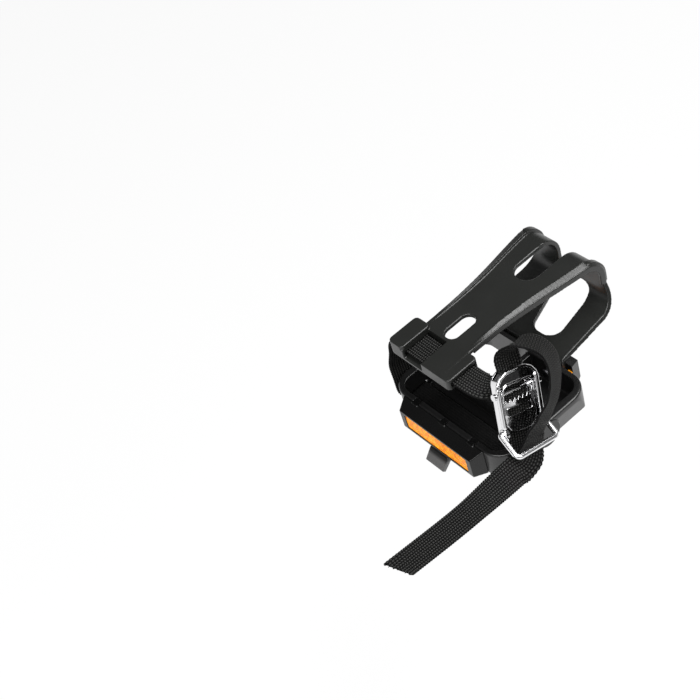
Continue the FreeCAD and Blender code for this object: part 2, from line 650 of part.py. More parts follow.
def clip_front():
    """Front view of the clip below the split, wider at its foot, as a long solid."""
    low = -CLIP_FOOT_DROP - CLIP_THICKNESS
    right = [(CLIP_FOOT_HALF, low), (CLIP_FOOT_HALF, CLIP_SOLE_Z), (CLIP_NOSE_HALF, CLIP_SPLIT_Z)]
    left = [(-x, z) for x, z in reversed(right)]
    return prism([Vector(CLIP_X + x, RAIL_Y, z) for x, z in right + left], Y_AXIS * FAR)


def make_sole_hole():
    """Opening in the clip's sole that carries on up its nose, wider and further inboard at the front."""
    front_y = CLIP_NOSE_Y + CLIP_THICKNESS
    plan = [
        Vector(CLIP_X + SOLE_HOLE_REAR_OFFSET - SOLE_HOLE_REAR_HALF, SOLE_HOLE_REAR_Y, 0),
        Vector(CLIP_X + SOLE_HOLE_REAR_OFFSET + SOLE_HOLE_REAR_HALF, SOLE_HOLE_REAR_Y, 0),
        Vector(CLIP_X + SOLE_HOLE_FRONT_OFFSET + SOLE_HOLE_FRONT_HALF, front_y, 0),
        Vector(CLIP_X + SOLE_HOLE_FRONT_OFFSET - SOLE_HOLE_FRONT_HALF, front_y, 0),
    ]
    hole = prism(plan, Z_AXIS * SOLE_HOLE_TOP_Z)
    rear = [edge for edge in hole.Edges if edge.BoundBox.YMax < SOLE_HOLE_REAR_Y + EDGE_ROUND and edge.BoundBox.XLength < EDGE_ROUND]
    hole = hole.makeFillet(SOLE_HOLE_ROUND, rear)
    top = [edge for edge in hole.Edges if edge.BoundBox.ZMin > SOLE_HOLE_TOP_Z - EDGE_ROUND
           and edge.BoundBox.YLength > 2 * SOLE_HOLE_ROUND]
    return hole.makeFillet(SOLE_HOLE_TOP_ROUND, top)


def make_holder():
    """Sleeve across the clip's rear end: floor, two bridges and a window that shows the strap."""
    x0 = CLIP_X - HOLDER_LENGTH / 2
    x1 = CLIP_X + HOLDER_LENGTH / 2
    y0 = STRAP_Y - HOLDER_HALF_Y
    y1 = STRAP_Y + HOLDER_HALF_Y
    floor_z = STRAP_HOLDER_Z - CHANNEL_HEIGHT / 2 - HOLDER_FLOOR
    roof_z = CLIP_REAR_Z + CLIP_THICKNESS / 2
    bridge_x = x0 + HOLDER_INBOARD_BRIDGE
    sleeve = rounded_plate(x0, x1, y0, y1, HOLDER_ROUND, floor_z, roof_z)
    bridge = rounded_plate(x0, bridge_x, y0, y1, HOLDER_ROUND, floor_z, roof_z + HOLDER_BRIDGE_RISE)
    return sleeve.fuse(bridge)


def holder_cuts():
    """Channel that the strap runs through and the window above it."""
    x0 = CLIP_X - HOLDER_LENGTH / 2
    bridge_x = x0 + HOLDER_INBOARD_BRIDGE
    half = SLOT_WIDTH / 2
    low = STRAP_HOLDER_Z - CHANNEL_HEIGHT / 2
    high = STRAP_HOLDER_Z + CHANNEL_HEIGHT / 2
    channel = box(x0, x0 + HOLDER_LENGTH, STRAP_Y - half, STRAP_Y + half, low, high)
    window = box(bridge_x, bridge_x + HOLDER_WINDOW_LENGTH, STRAP_Y - HOLDER_HALF_Y, STRAP_Y + half, low, high + FAR)
    return [channel, window]


def make_toe_clip():
    inside = CLIP_THICKNESS / 2
    plan = clip_plan(STRAP_Y - HOLDER_HALF_Y, 0, 0)
    region = plan.fuse(clip_front())
    clip = clip_band(-inside, inside).common(region)
    ridge_plan = clip_plan(CLIP_RIDGE_REAR_Y, CLIP_RIDGE_INSET, CLIP_RIDGE_INSET)
    ridge_inner = clip_plan(CLIP_RIDGE_REAR_Y, CLIP_RIDGE_INSET + CLIP_RIDGE_REAR_WIDTH,
                            CLIP_RIDGE_INSET + CLIP_RIDGE_NOSE_WIDTH)
    ridges = clip_band(inside, inside + CLIP_RIDGE_HEIGHT).common(ridge_plan.cut(ridge_inner))
    lip_plan = clip_plan(CLIP_RIDGE_REAR_Y, 0, 0)
    lip_inner = clip_plan(CLIP_RIDGE_REAR_Y, CLIP_LIP_WIDTH, CLIP_LIP_WIDTH)
    lips = clip_band(-inside - CLIP_LIP_DEPTH, -inside).common(lip_plan.cut(lip_inner))
    notch_front = CLIP_NOSE_Y + FAR
    notch = rounded_plate(CLIP_X - NOTCH_WIDTH / 2, CLIP_X + NOTCH_WIDTH / 2, NOTCH_REAR_Y, notch_front,
                          NOTCH_WIDTH / 2 - THREAD_FIT, NOTCH_BOTTOM_Z, FAR)
    waist_hole = rounded_plate(CLIP_X - WAIST_HOLE_WIDTH / 2, CLIP_X + WAIST_HOLE_WIDTH / 2,
                               WAIST_HOLE_Y - WAIST_HOLE_LENGTH / 2, WAIST_HOLE_Y + WAIST_HOLE_LENGTH / 2,
                               WAIST_HOLE_WIDTH / 2 - THREAD_FIT, CLIP_SPLIT_Z, FAR)
    cuts = [notch, make_sole_hole(), waist_hole]
    for x in screw_places():
        hole = SCREW_DIAMETER / 2 + SCREW_HOLE_FIT
        cuts.append(rod(hole, Vector(x, RAIL_Y, 0), Vector(x, CLIP_FLANGE_Y, 0)))
    clip = clip.fuse([ridges, lips, make_holder()]).cut(cuts + holder_cuts())
    return clip.removeSplitter()


def buckle_point(across, along, out):
    """Point given in the buckle's own directions."""
    side, up, face = buckle_axes()
    return BUCKLE_CENTRE + side * across + up * along + face * out


def buckle_axes():
    up = Vector(BUCKLE_UP).normalize()
    side = Vector(BUCKLE_ACROSS)
    side = (side - up * side.dot(up)).normalize()
    return side, up, side.cross(up)


def place_on_buckle(shape):
    """Moves a piece drawn in the buckle's own frame to its place."""
    side, up, face = buckle_axes()
    matrix = Matrix(side.x, up.x, face.x, BUCKLE_CENTRE.x, side.y, up.y, face.y, BUCKLE_CENTRE.y,
                    side.z, up.z, face.z, BUCKLE_CENTRE.z, 0, 0, 0, 1)
    placed = shape.copy()
    placed.Placement = Placement(matrix).multiply(placed.Placement)
    return placed


def make_buckle_frame():
    """Channel of folded plate: a floor, two side walls and a bar across the top end."""
    outer = BUCKLE_HALF + BUCKLE_WALL
    end = BUCKLE_LENGTH / 2
    frame = rounded_plate(-outer, outer, -end, end, BUCKLE_END_ROUND, BUCKLE_BACK, BUCKLE_WALL_TOP)
    opening = box(-BUCKLE_HALF, BUCKLE_HALF, -end, end - BUCKLE_TOP_BAR, BUCKLE_FLOOR, BUCKLE_WALL_TOP)
    under_bar = box(-BUCKLE_HALF, BUCKLE_HALF, -end, end, BUCKLE_FLOOR, -BUCKLE_FLOOR)
    pin_hole = CAM_PIN_DIAMETER / 2
    bail_hole = BAIL_WIRE / 2 + BAIL_PIN_FIT
    ear_end = outer + BAIL_EAR
    roll_end = BUCKLE_HALF + BUCKLE_ROLL
    ears = []
    for reach in (-1, 1):
        root = Vector(reach * BUCKLE_HALF, BAIL_ALONG, BAIL_OUT)
        ears.append(rod(bail_hole + BAIL_EAR_WALL, root, Vector(reach * ear_end, BAIL_ALONG, BAIL_OUT)))
    cuts = [
        opening,
        under_bar,
        rod(pin_hole, Vector(-roll_end, CAM_PIN_ALONG, CAM_PIN_OUT), Vector(roll_end, CAM_PIN_ALONG, CAM_PIN_OUT)),
        rod(bail_hole, Vector(-ear_end, BAIL_ALONG, BAIL_OUT), Vector(ear_end, BAIL_ALONG, BAIL_OUT)),
        rod(RIVET_DIAMETER / 2, Vector(0, RIVET_ALONG, BUCKLE_BACK), Vector(0, RIVET_ALONG, BUCKLE_FLOOR)),
    ]
    rolls = []
    for reach in (-1, 1):
        x = reach * (BUCKLE_HALF + BUCKLE_ROLL / 2)
        roll = rod(BUCKLE_ROLL / 2, Vector(x, BUCKLE_ROLL_LOW, BUCKLE_WALL_TOP), Vector(x, BUCKLE_ROLL_HIGH, BUCKLE_WALL_TOP))
        ends = [Part.makeSphere(BUCKLE_ROLL / 2, Vector(x, y, BUCKLE_WALL_TOP)) for y in (BUCKLE_ROLL_LOW, BUCKLE_ROLL_HIGH)]
        rolls.append(roll.fuse(ends))
    return place_on_buckle(frame.fuse(ears + rolls).cut(cuts))


def make_buckle_pin():
    outer = BUCKLE_HALF + BUCKLE_ROLL
    radius = CAM_PIN_DIAMETER / 2
    pin = rod(radius, Vector(-outer, CAM_PIN_ALONG, CAM_PIN_OUT), Vector(outer, CAM_PIN_ALONG, CAM_PIN_OUT))
    heads = []
    for side in (-1, 1):
        start = Vector(side * outer, CAM_PIN_ALONG, CAM_PIN_OUT)
        heads.append(rod(radius + CAM_PIN_HEAD / 2, start, start + X_AXIS * (side * CAM_PIN_HEAD)))
    return place_on_buckle(pin.fuse(heads))


def cam_plan():
    """Face view of the cam lever: arms beside a window, teeth on its lower edge, a tapering tongue."""
    half = BUCKLE_HALF - CAM_SIDE_FIT
    teeth_y = CAM_PIN_ALONG - CAM_TEETH_BELOW_PIN
    waist_y = teeth_y - CAM_WAIST_FROM_TEETH
    tip_y = teeth_y - CAM_TONGUE_LENGTH
    inner = half - CAM_ARM_WIDTH
    pitch = 2 * inner / CAM_TOOTH_COUNT
    points = [(-half, CAM_PIN_ALONG), (-half, waist_y), (-CAM_TONGUE_HALF_WIDTH, tip_y)]
    points += [(CAM_TONGUE_HALF_WIDTH, tip_y), (half, waist_y), (half, CAM_PIN_ALONG), (inner, CAM_PIN_ALONG)]
    for k in range(CAM_TOOTH_COUNT):
        right = inner - k * pitch
        points += [(right, teeth_y - CAM_TOOTH_LENGTH), (right - pitch / 2, teeth_y)]
    points += [(-inner, teeth_y - CAM_TOOTH_LENGTH), (-inner, CAM_PIN_ALONG)]
    return prism([Vector(x, y, -FAR / 2) for x, y in points], Z_AXIS * FAR)


def cam_side():
    """Side view of the cam's pressed plate, dipping at its teeth and lifting at its tongue."""
    teeth_y = CAM_PIN_ALONG - CAM_TEETH_BELOW_PIN
    waist_y = teeth_y - CAM_WAIST_FROM_TEETH
    tip_y = teeth_y - CAM_TONGUE_LENGTH
    low = STRAP_THICKNESS / 2 + BUCKLE_FACE_FIT + CAM_PLATE / 2
    half = BUCKLE_HALF - CAM_SIDE_FIT
    levels = [
        (CAM_PIN_ALONG, CAM_PIN_OUT),
        (teeth_y, low),
        (waist_y, CAM_PIN_OUT),
        (tip_y, CAM_PIN_OUT + CAM_TONGUE_RISE),
    ]
    upper = [Vector(-half, y, z + CAM_PLATE / 2) for y, z in levels]
    lower = [Vector(-half, y, z - CAM_PLATE / 2) for y, z in reversed(levels)]
    return prism(upper + lower, X_AXIS * (2 * half))


def make_buckle_cam():
    half = BUCKLE_HALF - CAM_SIDE_FIT
    inner = half - CAM_ARM_WIDTH
    teeth_y = CAM_PIN_ALONG - CAM_TEETH_BELOW_PIN
    slot_top = teeth_y - CAM_TOOTH_LENGTH - CAM_SLOT_FROM_TEETH
    cam = cam_side().common(cam_plan())
    slot = box(-half + CAM_SLOT_MARGIN, half - CAM_SLOT_MARGIN, slot_top - CAM_SLOT_LENGTH, slot_top, -FAR, FAR)
    hub_radius = CAM_PIN_DIAMETER / 2 + CAM_HUB_WALL
    hubs = []
    for side in (-1, 1):
        near = Vector(side * inner, CAM_PIN_ALONG, CAM_PIN_OUT)
        hubs.append(rod(hub_radius, near, Vector(side * half, CAM_PIN_ALONG, CAM_PIN_OUT)))
    bore = rod(CAM_PIN_DIAMETER / 2 + CAM_PIN_FIT, Vector(-half, CAM_PIN_ALONG, CAM_PIN_OUT),
               Vector(half, CAM_PIN_ALONG, CAM_PIN_OUT))
    return place_on_buckle(cam.fuse(hubs).cut([slot, bore]))


def make_buckle_spring():
    """Close-wound torsion spring on the pin, turned as one scalloped ring, with a leg to the top bar."""
    inner = BUCKLE_HALF - CAM_SIDE_FIT - CAM_ARM_WIDTH - SPRING_FIT
    bore = CAM_PIN_DIAMETER / 2 + SPRING_FIT
    middle = bore + SPRING_WIRE / 2
    begin = inner - SPRING_COILS * SPRING_WIRE

    def at(x, radius):
        return Vector(x, CAM_PIN_ALONG, CAM_PIN_OUT + radius)

    edges = [Part.LineSegment(at(begin, bore), at(begin, middle)).toShape()]
    for k in range(SPRING_COILS):
        x = begin + k * SPRING_WIRE
        crest = at(x + SPRING_WIRE / 2, middle + SPRING_WIRE / 2)
        edges.append(Part.Arc(at(x, middle), crest, at(x + SPRING_WIRE, middle)).toShape())
    edges.append(Part.LineSegment(at(inner, middle), at(inner, bore)).toShape())
    edges.append(Part.LineSegment(at(inner, bore), at(begin, bore)).toShape())
    pin_middle = Vector(0, CAM_PIN_ALONG, CAM_PIN_OUT)
    coils = Part.Face(Part.Wire(edges)).revolve(pin_middle, X_AXIS, FULL_TURN)
    foot = Vector(begin + SPRING_WIRE / 2, CAM_PIN_ALONG, CAM_PIN_OUT - middle)
    leg = rod(SPRING_WIRE / 2, foot, foot + Y_AXIS * SPRING_LEG)
    return place_on_buckle(coils.fuse(leg))


def make_buckle_bail():
    """Wire keeper: two ends in the side walls, two legs and a cross bar, drawn out from the face."""
    outer = BUCKLE_HALF + BUCKLE_WALL
    leg_x = outer + BAIL_EAR + BAIL_SIDE_GAP + BAIL_WIRE / 2
    bend = BAIL_WIRE
    short = BAIL_LENGTH - BAIL_SKEW
    pivot = Vector(0, BAIL_ALONG, BAIL_OUT)
    corners = [
        pivot + Vector(-BUCKLE_HALF, 0, 0),
        pivot + Vector(-leg_x, 0, 0),
        pivot + Vector(-leg_x, -BAIL_LENGTH, 0),
        pivot + Vector(leg_x, -short, 0),
        pivot + Vector(leg_x, 0, 0),
        pivot + Vector(BUCKLE_HALF, 0, 0),
    ]
    path = rounded_path(corners, [BAIL_EAR_BEND, bend, bend, BAIL_EAR_BEND])
    ring = Part.Wire(Part.makeCircle(BAIL_WIRE / 2, corners[0], X_AXIS))
    wire = path.makePipeShell([ring], True, False)
    return place_on_buckle(wire.rotated(pivot, X_AXIS, -BAIL_REST_ANGLE))


def make_strap_rivet():
    """Rivet that fixes the strap's sewn end behind the buckle's floor."""
    front = Vector(0, RIVET_ALONG, BUCKLE_FLOOR)
    strap_back = BUCKLE_BACK - BUCKLE_FACE_FIT - STRAP_THICKNESS
    back = Vector(0, RIVET_ALONG, strap_back)
    shank = rod(RIVET_DIAMETER / 2, back, front)
    head = rod(RIVET_HEAD_DIAMETER / 2, back - Z_AXIS * RIVET_HEAD, back)
    return place_on_buckle(shank.fuse(head))


def strap_stations():
    """Strap's middle line and width directions, from its fixed end behind the buckle to its tail."""
    side, up, face = buckle_axes()
    back = BUCKLE_BACK - BUCKLE_FACE_FIT - STRAP_THICKNESS / 2
    half_holder = HOLDER_LENGTH / 2
    inboard_x = BODY_INBOARD - STRAP_SIDE_GAP
    outboard_x = BODY_OUTBOARD + STRAP_SIDE_GAP
    slot_bend = STRAP_SIDE_GAP
    end = BUCKLE_LENGTH / 2
    fixed_end = [
        (buckle_point(0, -17.0, back), -side),
        (buckle_point(0, -7.0, back), -side),
        (buckle_point(-0.5, 2.0, back - 0.6), -side),
        (buckle_point(-3.0, 9.0, back - 4.4), -side),
        (Vector(MIDDLE_X + 30.0, STRAP_Y + 2.5, STRAP_HOLDER_Z - 2.0), Vector(-0.1, -1, 0)),
    ]
    over_toe = [
        (Vector(CLIP_X + half_holder + 1.0, STRAP_Y, STRAP_HOLDER_Z), -Y_AXIS),
        (Vector(CLIP_X, STRAP_Y, STRAP_HOLDER_Z), -Y_AXIS),
        (Vector(CLIP_X - half_holder - 1.0, STRAP_Y, STRAP_HOLDER_Z), -Y_AXIS),
        (Vector(CLIP_X - half_holder - 6.0, STRAP_Y, STRAP_HOLDER_Z - 4.0), -Y_AXIS),
        (Vector(CLIP_X - half_holder - 9.5, STRAP_Y, STRAP_HOLDER_Z - 15.0), -Y_AXIS),
        (Vector(inboard_x - 1.0, STRAP_Y, STRAP_HOLDER_Z - 32.0), -Y_AXIS),
        (Vector(inboard_x - 1.0, STRAP_Y, STRAP_SLOT_Z + 14.0), -Y_AXIS),
        (Vector(inboard_x - 1.0, STRAP_Y, STRAP_SLOT_Z + 3.5), -Y_AXIS),
        (Vector(inboard_x - 0.3, STRAP_Y, STRAP_SLOT_Z + 0.7), -Y_AXIS),
        (Vector(inboard_x + slot_bend, STRAP_Y, STRAP_SLOT_Z), -Y_AXIS),
    ]
    under_foot = [
        (Vector(MIDDLE_X, STRAP_Y, STRAP_SLOT_Z), -Y_AXIS),
        (Vector(outboard_x - slot_bend, STRAP_Y, STRAP_SLOT_Z), -Y_AXIS),
        (Vector(outboard_x + 0.3, STRAP_Y, STRAP_SLOT_Z + 0.7), -Y_AXIS),
        (Vector(outboard_x + 1.0, STRAP_Y, STRAP_SLOT_Z + 3.5), -Y_AXIS),
        (Vector(outboard_x + 2.0, STRAP_Y, STRAP_SLOT_Z + 12.0), -Y_AXIS),
    ]
    through_buckle = [
        (buckle_point(0, -end - 3.0, 0), -side),
        (buckle_point(0, 0, 0), -side),
        (buckle_point(0, end + 1.0, 0), -side),
    ]
    loop = [(buckle_point(across, along, out), face * lean - side) for across, along, out, lean in STRAP_LOOP]
    tail_x = outboard_x + 7.0
    tail_y = -38.0
    tail = [
        (buckle_point(1.5, -26.5, 6.5), -side),
        (Vector(tail_x + 3.0, -29.0, 11.5), Vector(-0.6, -0.65, 0.5)),
        (Vector(tail_x + 0.5, tail_y, 8.0), Vector(-0.92, -0.25, 0.25)),
        (Vector(tail_x, tail_y - 0.45 * STRAP_TAIL_LENGTH, 7.0), Vector(-1, 0, 0)),
        (Vector(tail_x - 2.5, tail_y - STRAP_TAIL_LENGTH, 8.0), Vector(-1, 0.1, 0)),
    ]
    return fixed_end + over_toe + under_foot + through_buckle + loop + tail


def through_points(before, start, end, after, share):
    """Point on a smooth curve through two stations, shaped by the stations on either side."""
    square = share * share
    cube = square * share
    pull_start = (end - before) * ((end - start).Length / (end - before).Length)
    pull_end = (after - start) * ((end - start).Length / (after - start).Length)
    return (start * (2 * cube - 3 * square + 1) + pull_start * (cube - 2 * square + share)
            + end * (3 * square - 2 * cube) + pull_end * (cube - square))


def strap_line(step):
    """Middle line of the strap with its width directions, every few millimetres."""
    stations = strap_stations()
    points = [place for place, across in stations]
    line = []
    for k in range(len(points) - 1):
        start, end = points[k], points[k + 1]
        before = points[k - 1] if k else start * 2 - end
        after = points[k + 2] if k + 2 < len(points) else end * 2 - start
        count = max(2, round((end - start).Length / step))
        for n in range(count):
            share = n / count
            across = stations[k][1] * (1 - share) + stations[k + 1][1] * share
            line.append((through_points(before, start, end, after, share), across))
    line.append((points[-1], stations[-1][1]))
    return line


def strap_sections():
    """Corners of the strap's square-cut sections, the last one slanted as the tail is cut."""
    line = strap_line(STRAP_STEP)
    sections = []
    for k, (place, across) in enumerate(line):
        ahead = line[min(k + 1, len(line) - 1)][0] - line[max(k - 1, 0)][0]
        ahead.normalize()
        wide = (across - ahead * across.dot(ahead)).normalize() * (STRAP_WIDTH / 2)
        thick = wide.cross(ahead).normalize() * (STRAP_THICKNESS / 2)
        if k == len(line) - 1:
            wide = wide + ahead * (STRAP_TAIL_SLANT / 2)
        sections.append([place - wide - thick, place + wide - thick, place + wide + thick, place - wide + thick])
    return sections


def flat_face(corners):
    return Part.Face(Part.makePolygon(corners + corners[:1]))


def make_strap():
    """One length of webbing: a closed shell of flat facets between its sections, holed for the rivet."""
    sections = strap_sections()
    faces = [flat_face(sections[0]), flat_face(sections[-1])]
    for near, far in zip(sections, sections[1:]):
        for k in range(len(near)):
            after = (k + 1) % len(near)
            faces.append(flat_face([near[k], near[after], far[after]]))
            faces.append(flat_face([near[k], far[after], far[k]]))
    shell = Part.makeShell(faces)
    shell.sewShape()
    strap = Part.makeSolid(shell)
    front = Vector(0, RIVET_ALONG, BUCKLE_BACK)
    hole = rod(RIVET_DIAMETER / 2 + RIVET_HOLE_FIT, front, front - Z_AXIS * (2 * STRAP_THICKNESS))
    return strap.cut(place_on_buckle(hole))


def make_all():
    """Every piece of the pedal by its node name."""
    inner_ball_x = INNER_CUP_X + INNER_CUP_LENGTH / 2
    outer_ball_x = OUTER_CUP_X + OUTER_CUP_LENGTH / 2
    rear_screws, rear_nuts = make_fasteners(True)
    front_screws, front_nuts = make_fasteners(False)
    return {
        "spindle": make_spindle(),
        "spindle_seal": make_seal(),
        "inner_bearing_cup": make_cup(INNER_CUP_X, INNER_CUP_LENGTH, INNER_CUP_BORE, INNER_CUP_RADIUS,
                                      INNER_BALL_CIRCLE),
        "inner_bearing_balls": ball_ring(INNER_BALL_COUNT, INNER_BALL_CIRCLE, inner_ball_x),
        "outer_bearing_cup": make_cup(OUTER_CUP_X, OUTER_CUP_LENGTH, OUTER_CUP_BORE, OUTER_CUP_RADIUS,
                                      OUTER_BALL_CIRCLE),
        "outer_bearing_balls": ball_ring(OUTER_BALL_COUNT, OUTER_BALL_CIRCLE, outer_ball_x),
        "outer_cone": make_outer_cone(),
        "lock_washer": make_lock_washer(),
        "lock_nut": make_lock_nut(),
        "dust_cap": make_dust_cap(),
        "pedal_body": make_body(),
        "rear_reflector_housing": make_housing(-RAIL_Y, True),
        "rear_reflector_lens": make_lens(-RAIL_Y, True),
        "rear_reflector_screws": rear_screws,
        "rear_reflector_nuts": rear_nuts,
        "front_reflector_housing": make_housing(CLIP_FLANGE_Y, False),
        "front_reflector_lens": make_lens(CLIP_FLANGE_Y, False),
        "toe_clip": make_toe_clip(),
        "toe_clip_screws": front_screws,
        "toe_clip_nuts": front_nuts,
        "toe_strap": make_strap(),
        "buckle_frame": make_buckle_frame(),
        "buckle_pin": make_buckle_pin(),
        "buckle_cam": make_buckle_cam(),
        "buckle_spring": make_buckle_spring(),
        "buckle_bail": make_buckle_bail(),
        "strap_rivet": make_strap_rivet(),
    }


os.makedirs("parts", exist_ok=True)
for node, shape in make_all().items():
    shape.exportStep("parts/" + node + ".step")
    print(node, "solids", len(shape.Solids), "valid", shape.isValid(), "volume", round(shape.Volume, 1))
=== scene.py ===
# %% [markdown]
# # Dressing a platform pedal
# The engineering model already has every piece at its true size and place. This lesson gives the pieces
# their looks: satin moulded resin, woven webbing, bright plating and an amber reflector.
# All lengths are in metres, in the model's own frame: X along the spindle, Y forward, Z up.

# %% Load the engineering model
import json
import math

import bmesh
import bpy
import numpy as np
from mathutils import Matrix, Vector
from mathutils.bvhtree import BVHTree


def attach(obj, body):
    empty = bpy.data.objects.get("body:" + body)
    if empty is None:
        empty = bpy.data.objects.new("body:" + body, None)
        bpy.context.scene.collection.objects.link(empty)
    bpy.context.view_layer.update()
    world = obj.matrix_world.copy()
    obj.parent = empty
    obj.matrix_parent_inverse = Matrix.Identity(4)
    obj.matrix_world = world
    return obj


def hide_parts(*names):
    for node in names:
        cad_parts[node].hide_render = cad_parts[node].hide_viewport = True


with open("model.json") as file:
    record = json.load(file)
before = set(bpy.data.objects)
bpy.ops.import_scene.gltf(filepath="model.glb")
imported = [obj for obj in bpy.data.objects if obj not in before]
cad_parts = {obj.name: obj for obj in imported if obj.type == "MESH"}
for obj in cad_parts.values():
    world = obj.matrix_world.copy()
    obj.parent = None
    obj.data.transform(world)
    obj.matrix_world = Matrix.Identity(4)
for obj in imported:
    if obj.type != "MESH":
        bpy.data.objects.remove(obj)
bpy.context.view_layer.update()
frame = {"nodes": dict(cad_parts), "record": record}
nodes = frame["nodes"]
MM = 0.001

# %% [markdown]
# ## The camera
# A photograph fixes where its camera stood: matching the corners of a thing of known shape gives the place,
# the two directions of the picture and the focal length. Here they are written down as plain vectors, which is
# clearer than three angles.

# %% Camera
CAMERA_PLACE = Vector((0.5294, -0.3059, 0.6282))
CAMERA_RIGHT = Vector((0.6231, 0.7429, -0.2445)).normalized()
CAMERA_DOWN = Vector((0.4474, -0.5950, -0.6677))
FOCAL_PIXELS = 1300.0
FRAME_PIXELS = 700.0
SENSOR = 36.0

camera_up = -(CAMERA_DOWN - CAMERA_RIGHT * CAMERA_DOWN.dot(CAMERA_RIGHT)).normalized()
camera_back = CAMERA_RIGHT.cross(camera_up)
camera_data = bpy.data.cameras.new("photo_camera")
camera_data.sensor_width = SENSOR
camera_data.lens = SENSOR * FOCAL_PIXELS / FRAME_PIXELS
camera = bpy.data.objects.new("photo_camera", camera_data)
bpy.context.scene.collection.objects.link(camera)
camera.matrix_world = Matrix.Translation(CAMERA_PLACE) @ Matrix(
    (CAMERA_RIGHT, camera_up, camera_back)).transposed().to_4x4()
bpy.context.scene.camera = camera
print("camera lens", round(camera_data.lens, 1), "mm")

# %% [markdown]
# ## Floor
# Black plastic shows only what it reflects, so what surrounds it matters more than its colour. A pale floor lights
# the undersides. Lamps could light it until it is white, but so much light would wash out the pedal. So the floor
# glows by itself, for the camera and for mirror images alone, and a tenth of it stays plain paint that keeps the
# shadow.

# %% Helper: a painted sheet
MATT = 0.9


def painted_sheet(name, paint_name, width, height, colour):
    """Flat rectangle round the origin with a matt paint of its own."""
    x, y = width / 2, height / 2
    mesh = bpy.data.meshes.new(name)
    mesh.from_pydata([(-x, -y, 0), (x, -y, 0), (x, y, 0), (-x, y, 0)], [], [(0, 1, 2, 3)])
    sheet = bpy.data.objects.new(name, mesh)
    bpy.context.scene.collection.objects.link(sheet)
    paint = bpy.data.materials.new(paint_name)
    paint.use_nodes = True
    shader = paint.node_tree.nodes["Principled BSDF"]
    shader.inputs["Base Color"].default_value = (*colour, 1)
    shader.inputs["Roughness"].default_value = MATT
    mesh.materials.append(paint)
    return sheet


# %% Floor
FLOOR_Z = -0.30
FLOOR_SIZE = 12.0
FLOOR_COLOUR = (0.93, 0.93, 0.93)
GLOW_SHARE = 0.9
floor = painted_sheet("floor", "floor_paint", FLOOR_SIZE, FLOOR_SIZE, FLOOR_COLOUR)
floor.matrix_world = Matrix.Translation((0, 0, FLOOR_Z))
floor_tree = floor.data.materials[0].node_tree
floor_shader = floor_tree.nodes["Principled BSDF"]
floor_shader.inputs["Specular IOR Level"].default_value = 0.0
print("floor at", FLOOR_Z, "m")

# %% Floor's glow
floor_glow = floor_tree.nodes.new("ShaderNodeEmission")
floor_glow.inputs["Color"].default_value = (1, 1, 1, 1)
floor_path = floor_tree.nodes.new("ShaderNodeLightPath")
floor_seen = floor_tree.nodes.new("ShaderNodeMath")
floor_seen.operation = "MAXIMUM"
floor_seen_too = floor_tree.nodes.new("ShaderNodeMath")
floor_seen_too.operation = "MAXIMUM"
floor_share = floor_tree.nodes.new("ShaderNodeMath")
floor_share.operation = "MULTIPLY"
floor_share.inputs[1].default_value = GLOW_SHARE
floor_mix = floor_tree.nodes.new("ShaderNodeMixShader")
floor_tree.links.new(floor_path.outputs["Is Camera Ray"], floor_seen.inputs[0])
floor_tree.links.new(floor_path.outputs["Is Glossy Ray"], floor_seen.inputs[1])
floor_tree.links.new(floor_seen.outputs[0], floor_seen_too.inputs[0])
floor_tree.links.new(floor_path.outputs["Is Transmission Ray"], floor_seen_too.inputs[1])
floor_tree.links.new(floor_seen_too.outputs[0], floor_share.inputs[0])
floor_tree.links.new(floor_share.outputs[0], floor_mix.inputs["Fac"])
floor_tree.links.new(floor_shader.outputs["BSDF"], floor_mix.inputs[1])
floor_tree.links.new(floor_glow.outputs["Emission"], floor_mix.inputs[2])
floor_tree.links.new(floor_mix.outputs["Shader"], floor_tree.nodes["Material Output"].inputs["Surface"])
print("floor glows by", GLOW_SHARE)

# %% [markdown]
# ## Sky and lamps
# A sky picture would bring its own reflections. A ramp by height is simpler to steer: pale at the horizon, which is
# all that a low camera sees of it, dark just above, which keeps the black plastic black, and a little lighter
# overhead. Three soft lamps then draw the long highlights.

# %% Sky
HORIZON_Z, HORIZON_COLOUR = 0.03, (0.90, 0.90, 0.90, 1)
DARK_Z, DARK_COLOUR = 0.12, (0.05, 0.05, 0.05, 1)
OVERHEAD_Z, OVERHEAD_COLOUR = 0.70, (0.13, 0.13, 0.133, 1)
world = bpy.data.worlds.new("studio_sky")
world.use_nodes = True
bpy.context.scene.world = world
sky = world.node_tree
sky_place = sky.nodes.new("ShaderNodeTexCoord")
sky_split = sky.nodes.new("ShaderNodeSeparateXYZ")
sky_ramp = sky.nodes.new("ShaderNodeValToRGB")
sky.links.new(sky_place.outputs["Generated"], sky_split.inputs[0])
sky.links.new(sky_split.outputs["Z"], sky_ramp.inputs["Fac"])
sky_steps = sky_ramp.color_ramp.elements
sky_steps[0].position, sky_steps[0].color = HORIZON_Z, HORIZON_COLOUR
sky_steps[1].position, sky_steps[1].color = OVERHEAD_Z, OVERHEAD_COLOUR
sky_steps.new(DARK_Z).color = DARK_COLOUR
sky.links.new(sky_ramp.outputs["Color"], sky.nodes["Background"].inputs["Color"])
print("graded sky")

# %% Lamps
PEDAL_MIDDLE = Vector((0.06, 0.0, 0.02))


def soft_lamp(name, place, width, height, watts):
    """Rectangular soft lamp at a place, turned to face the pedal."""
    data = bpy.data.lights.new(name, "AREA")
    data.shape = "RECTANGLE"
    data.size = width
    data.size_y = height
    data.energy = watts
    lamp = bpy.data.objects.new(name, data)
    lamp.location = place
    lamp.rotation_euler = (PEDAL_MIDDLE - Vector(place)).to_track_quat("-Z", "Y").to_euler()
    bpy.context.scene.collection.objects.link(lamp)


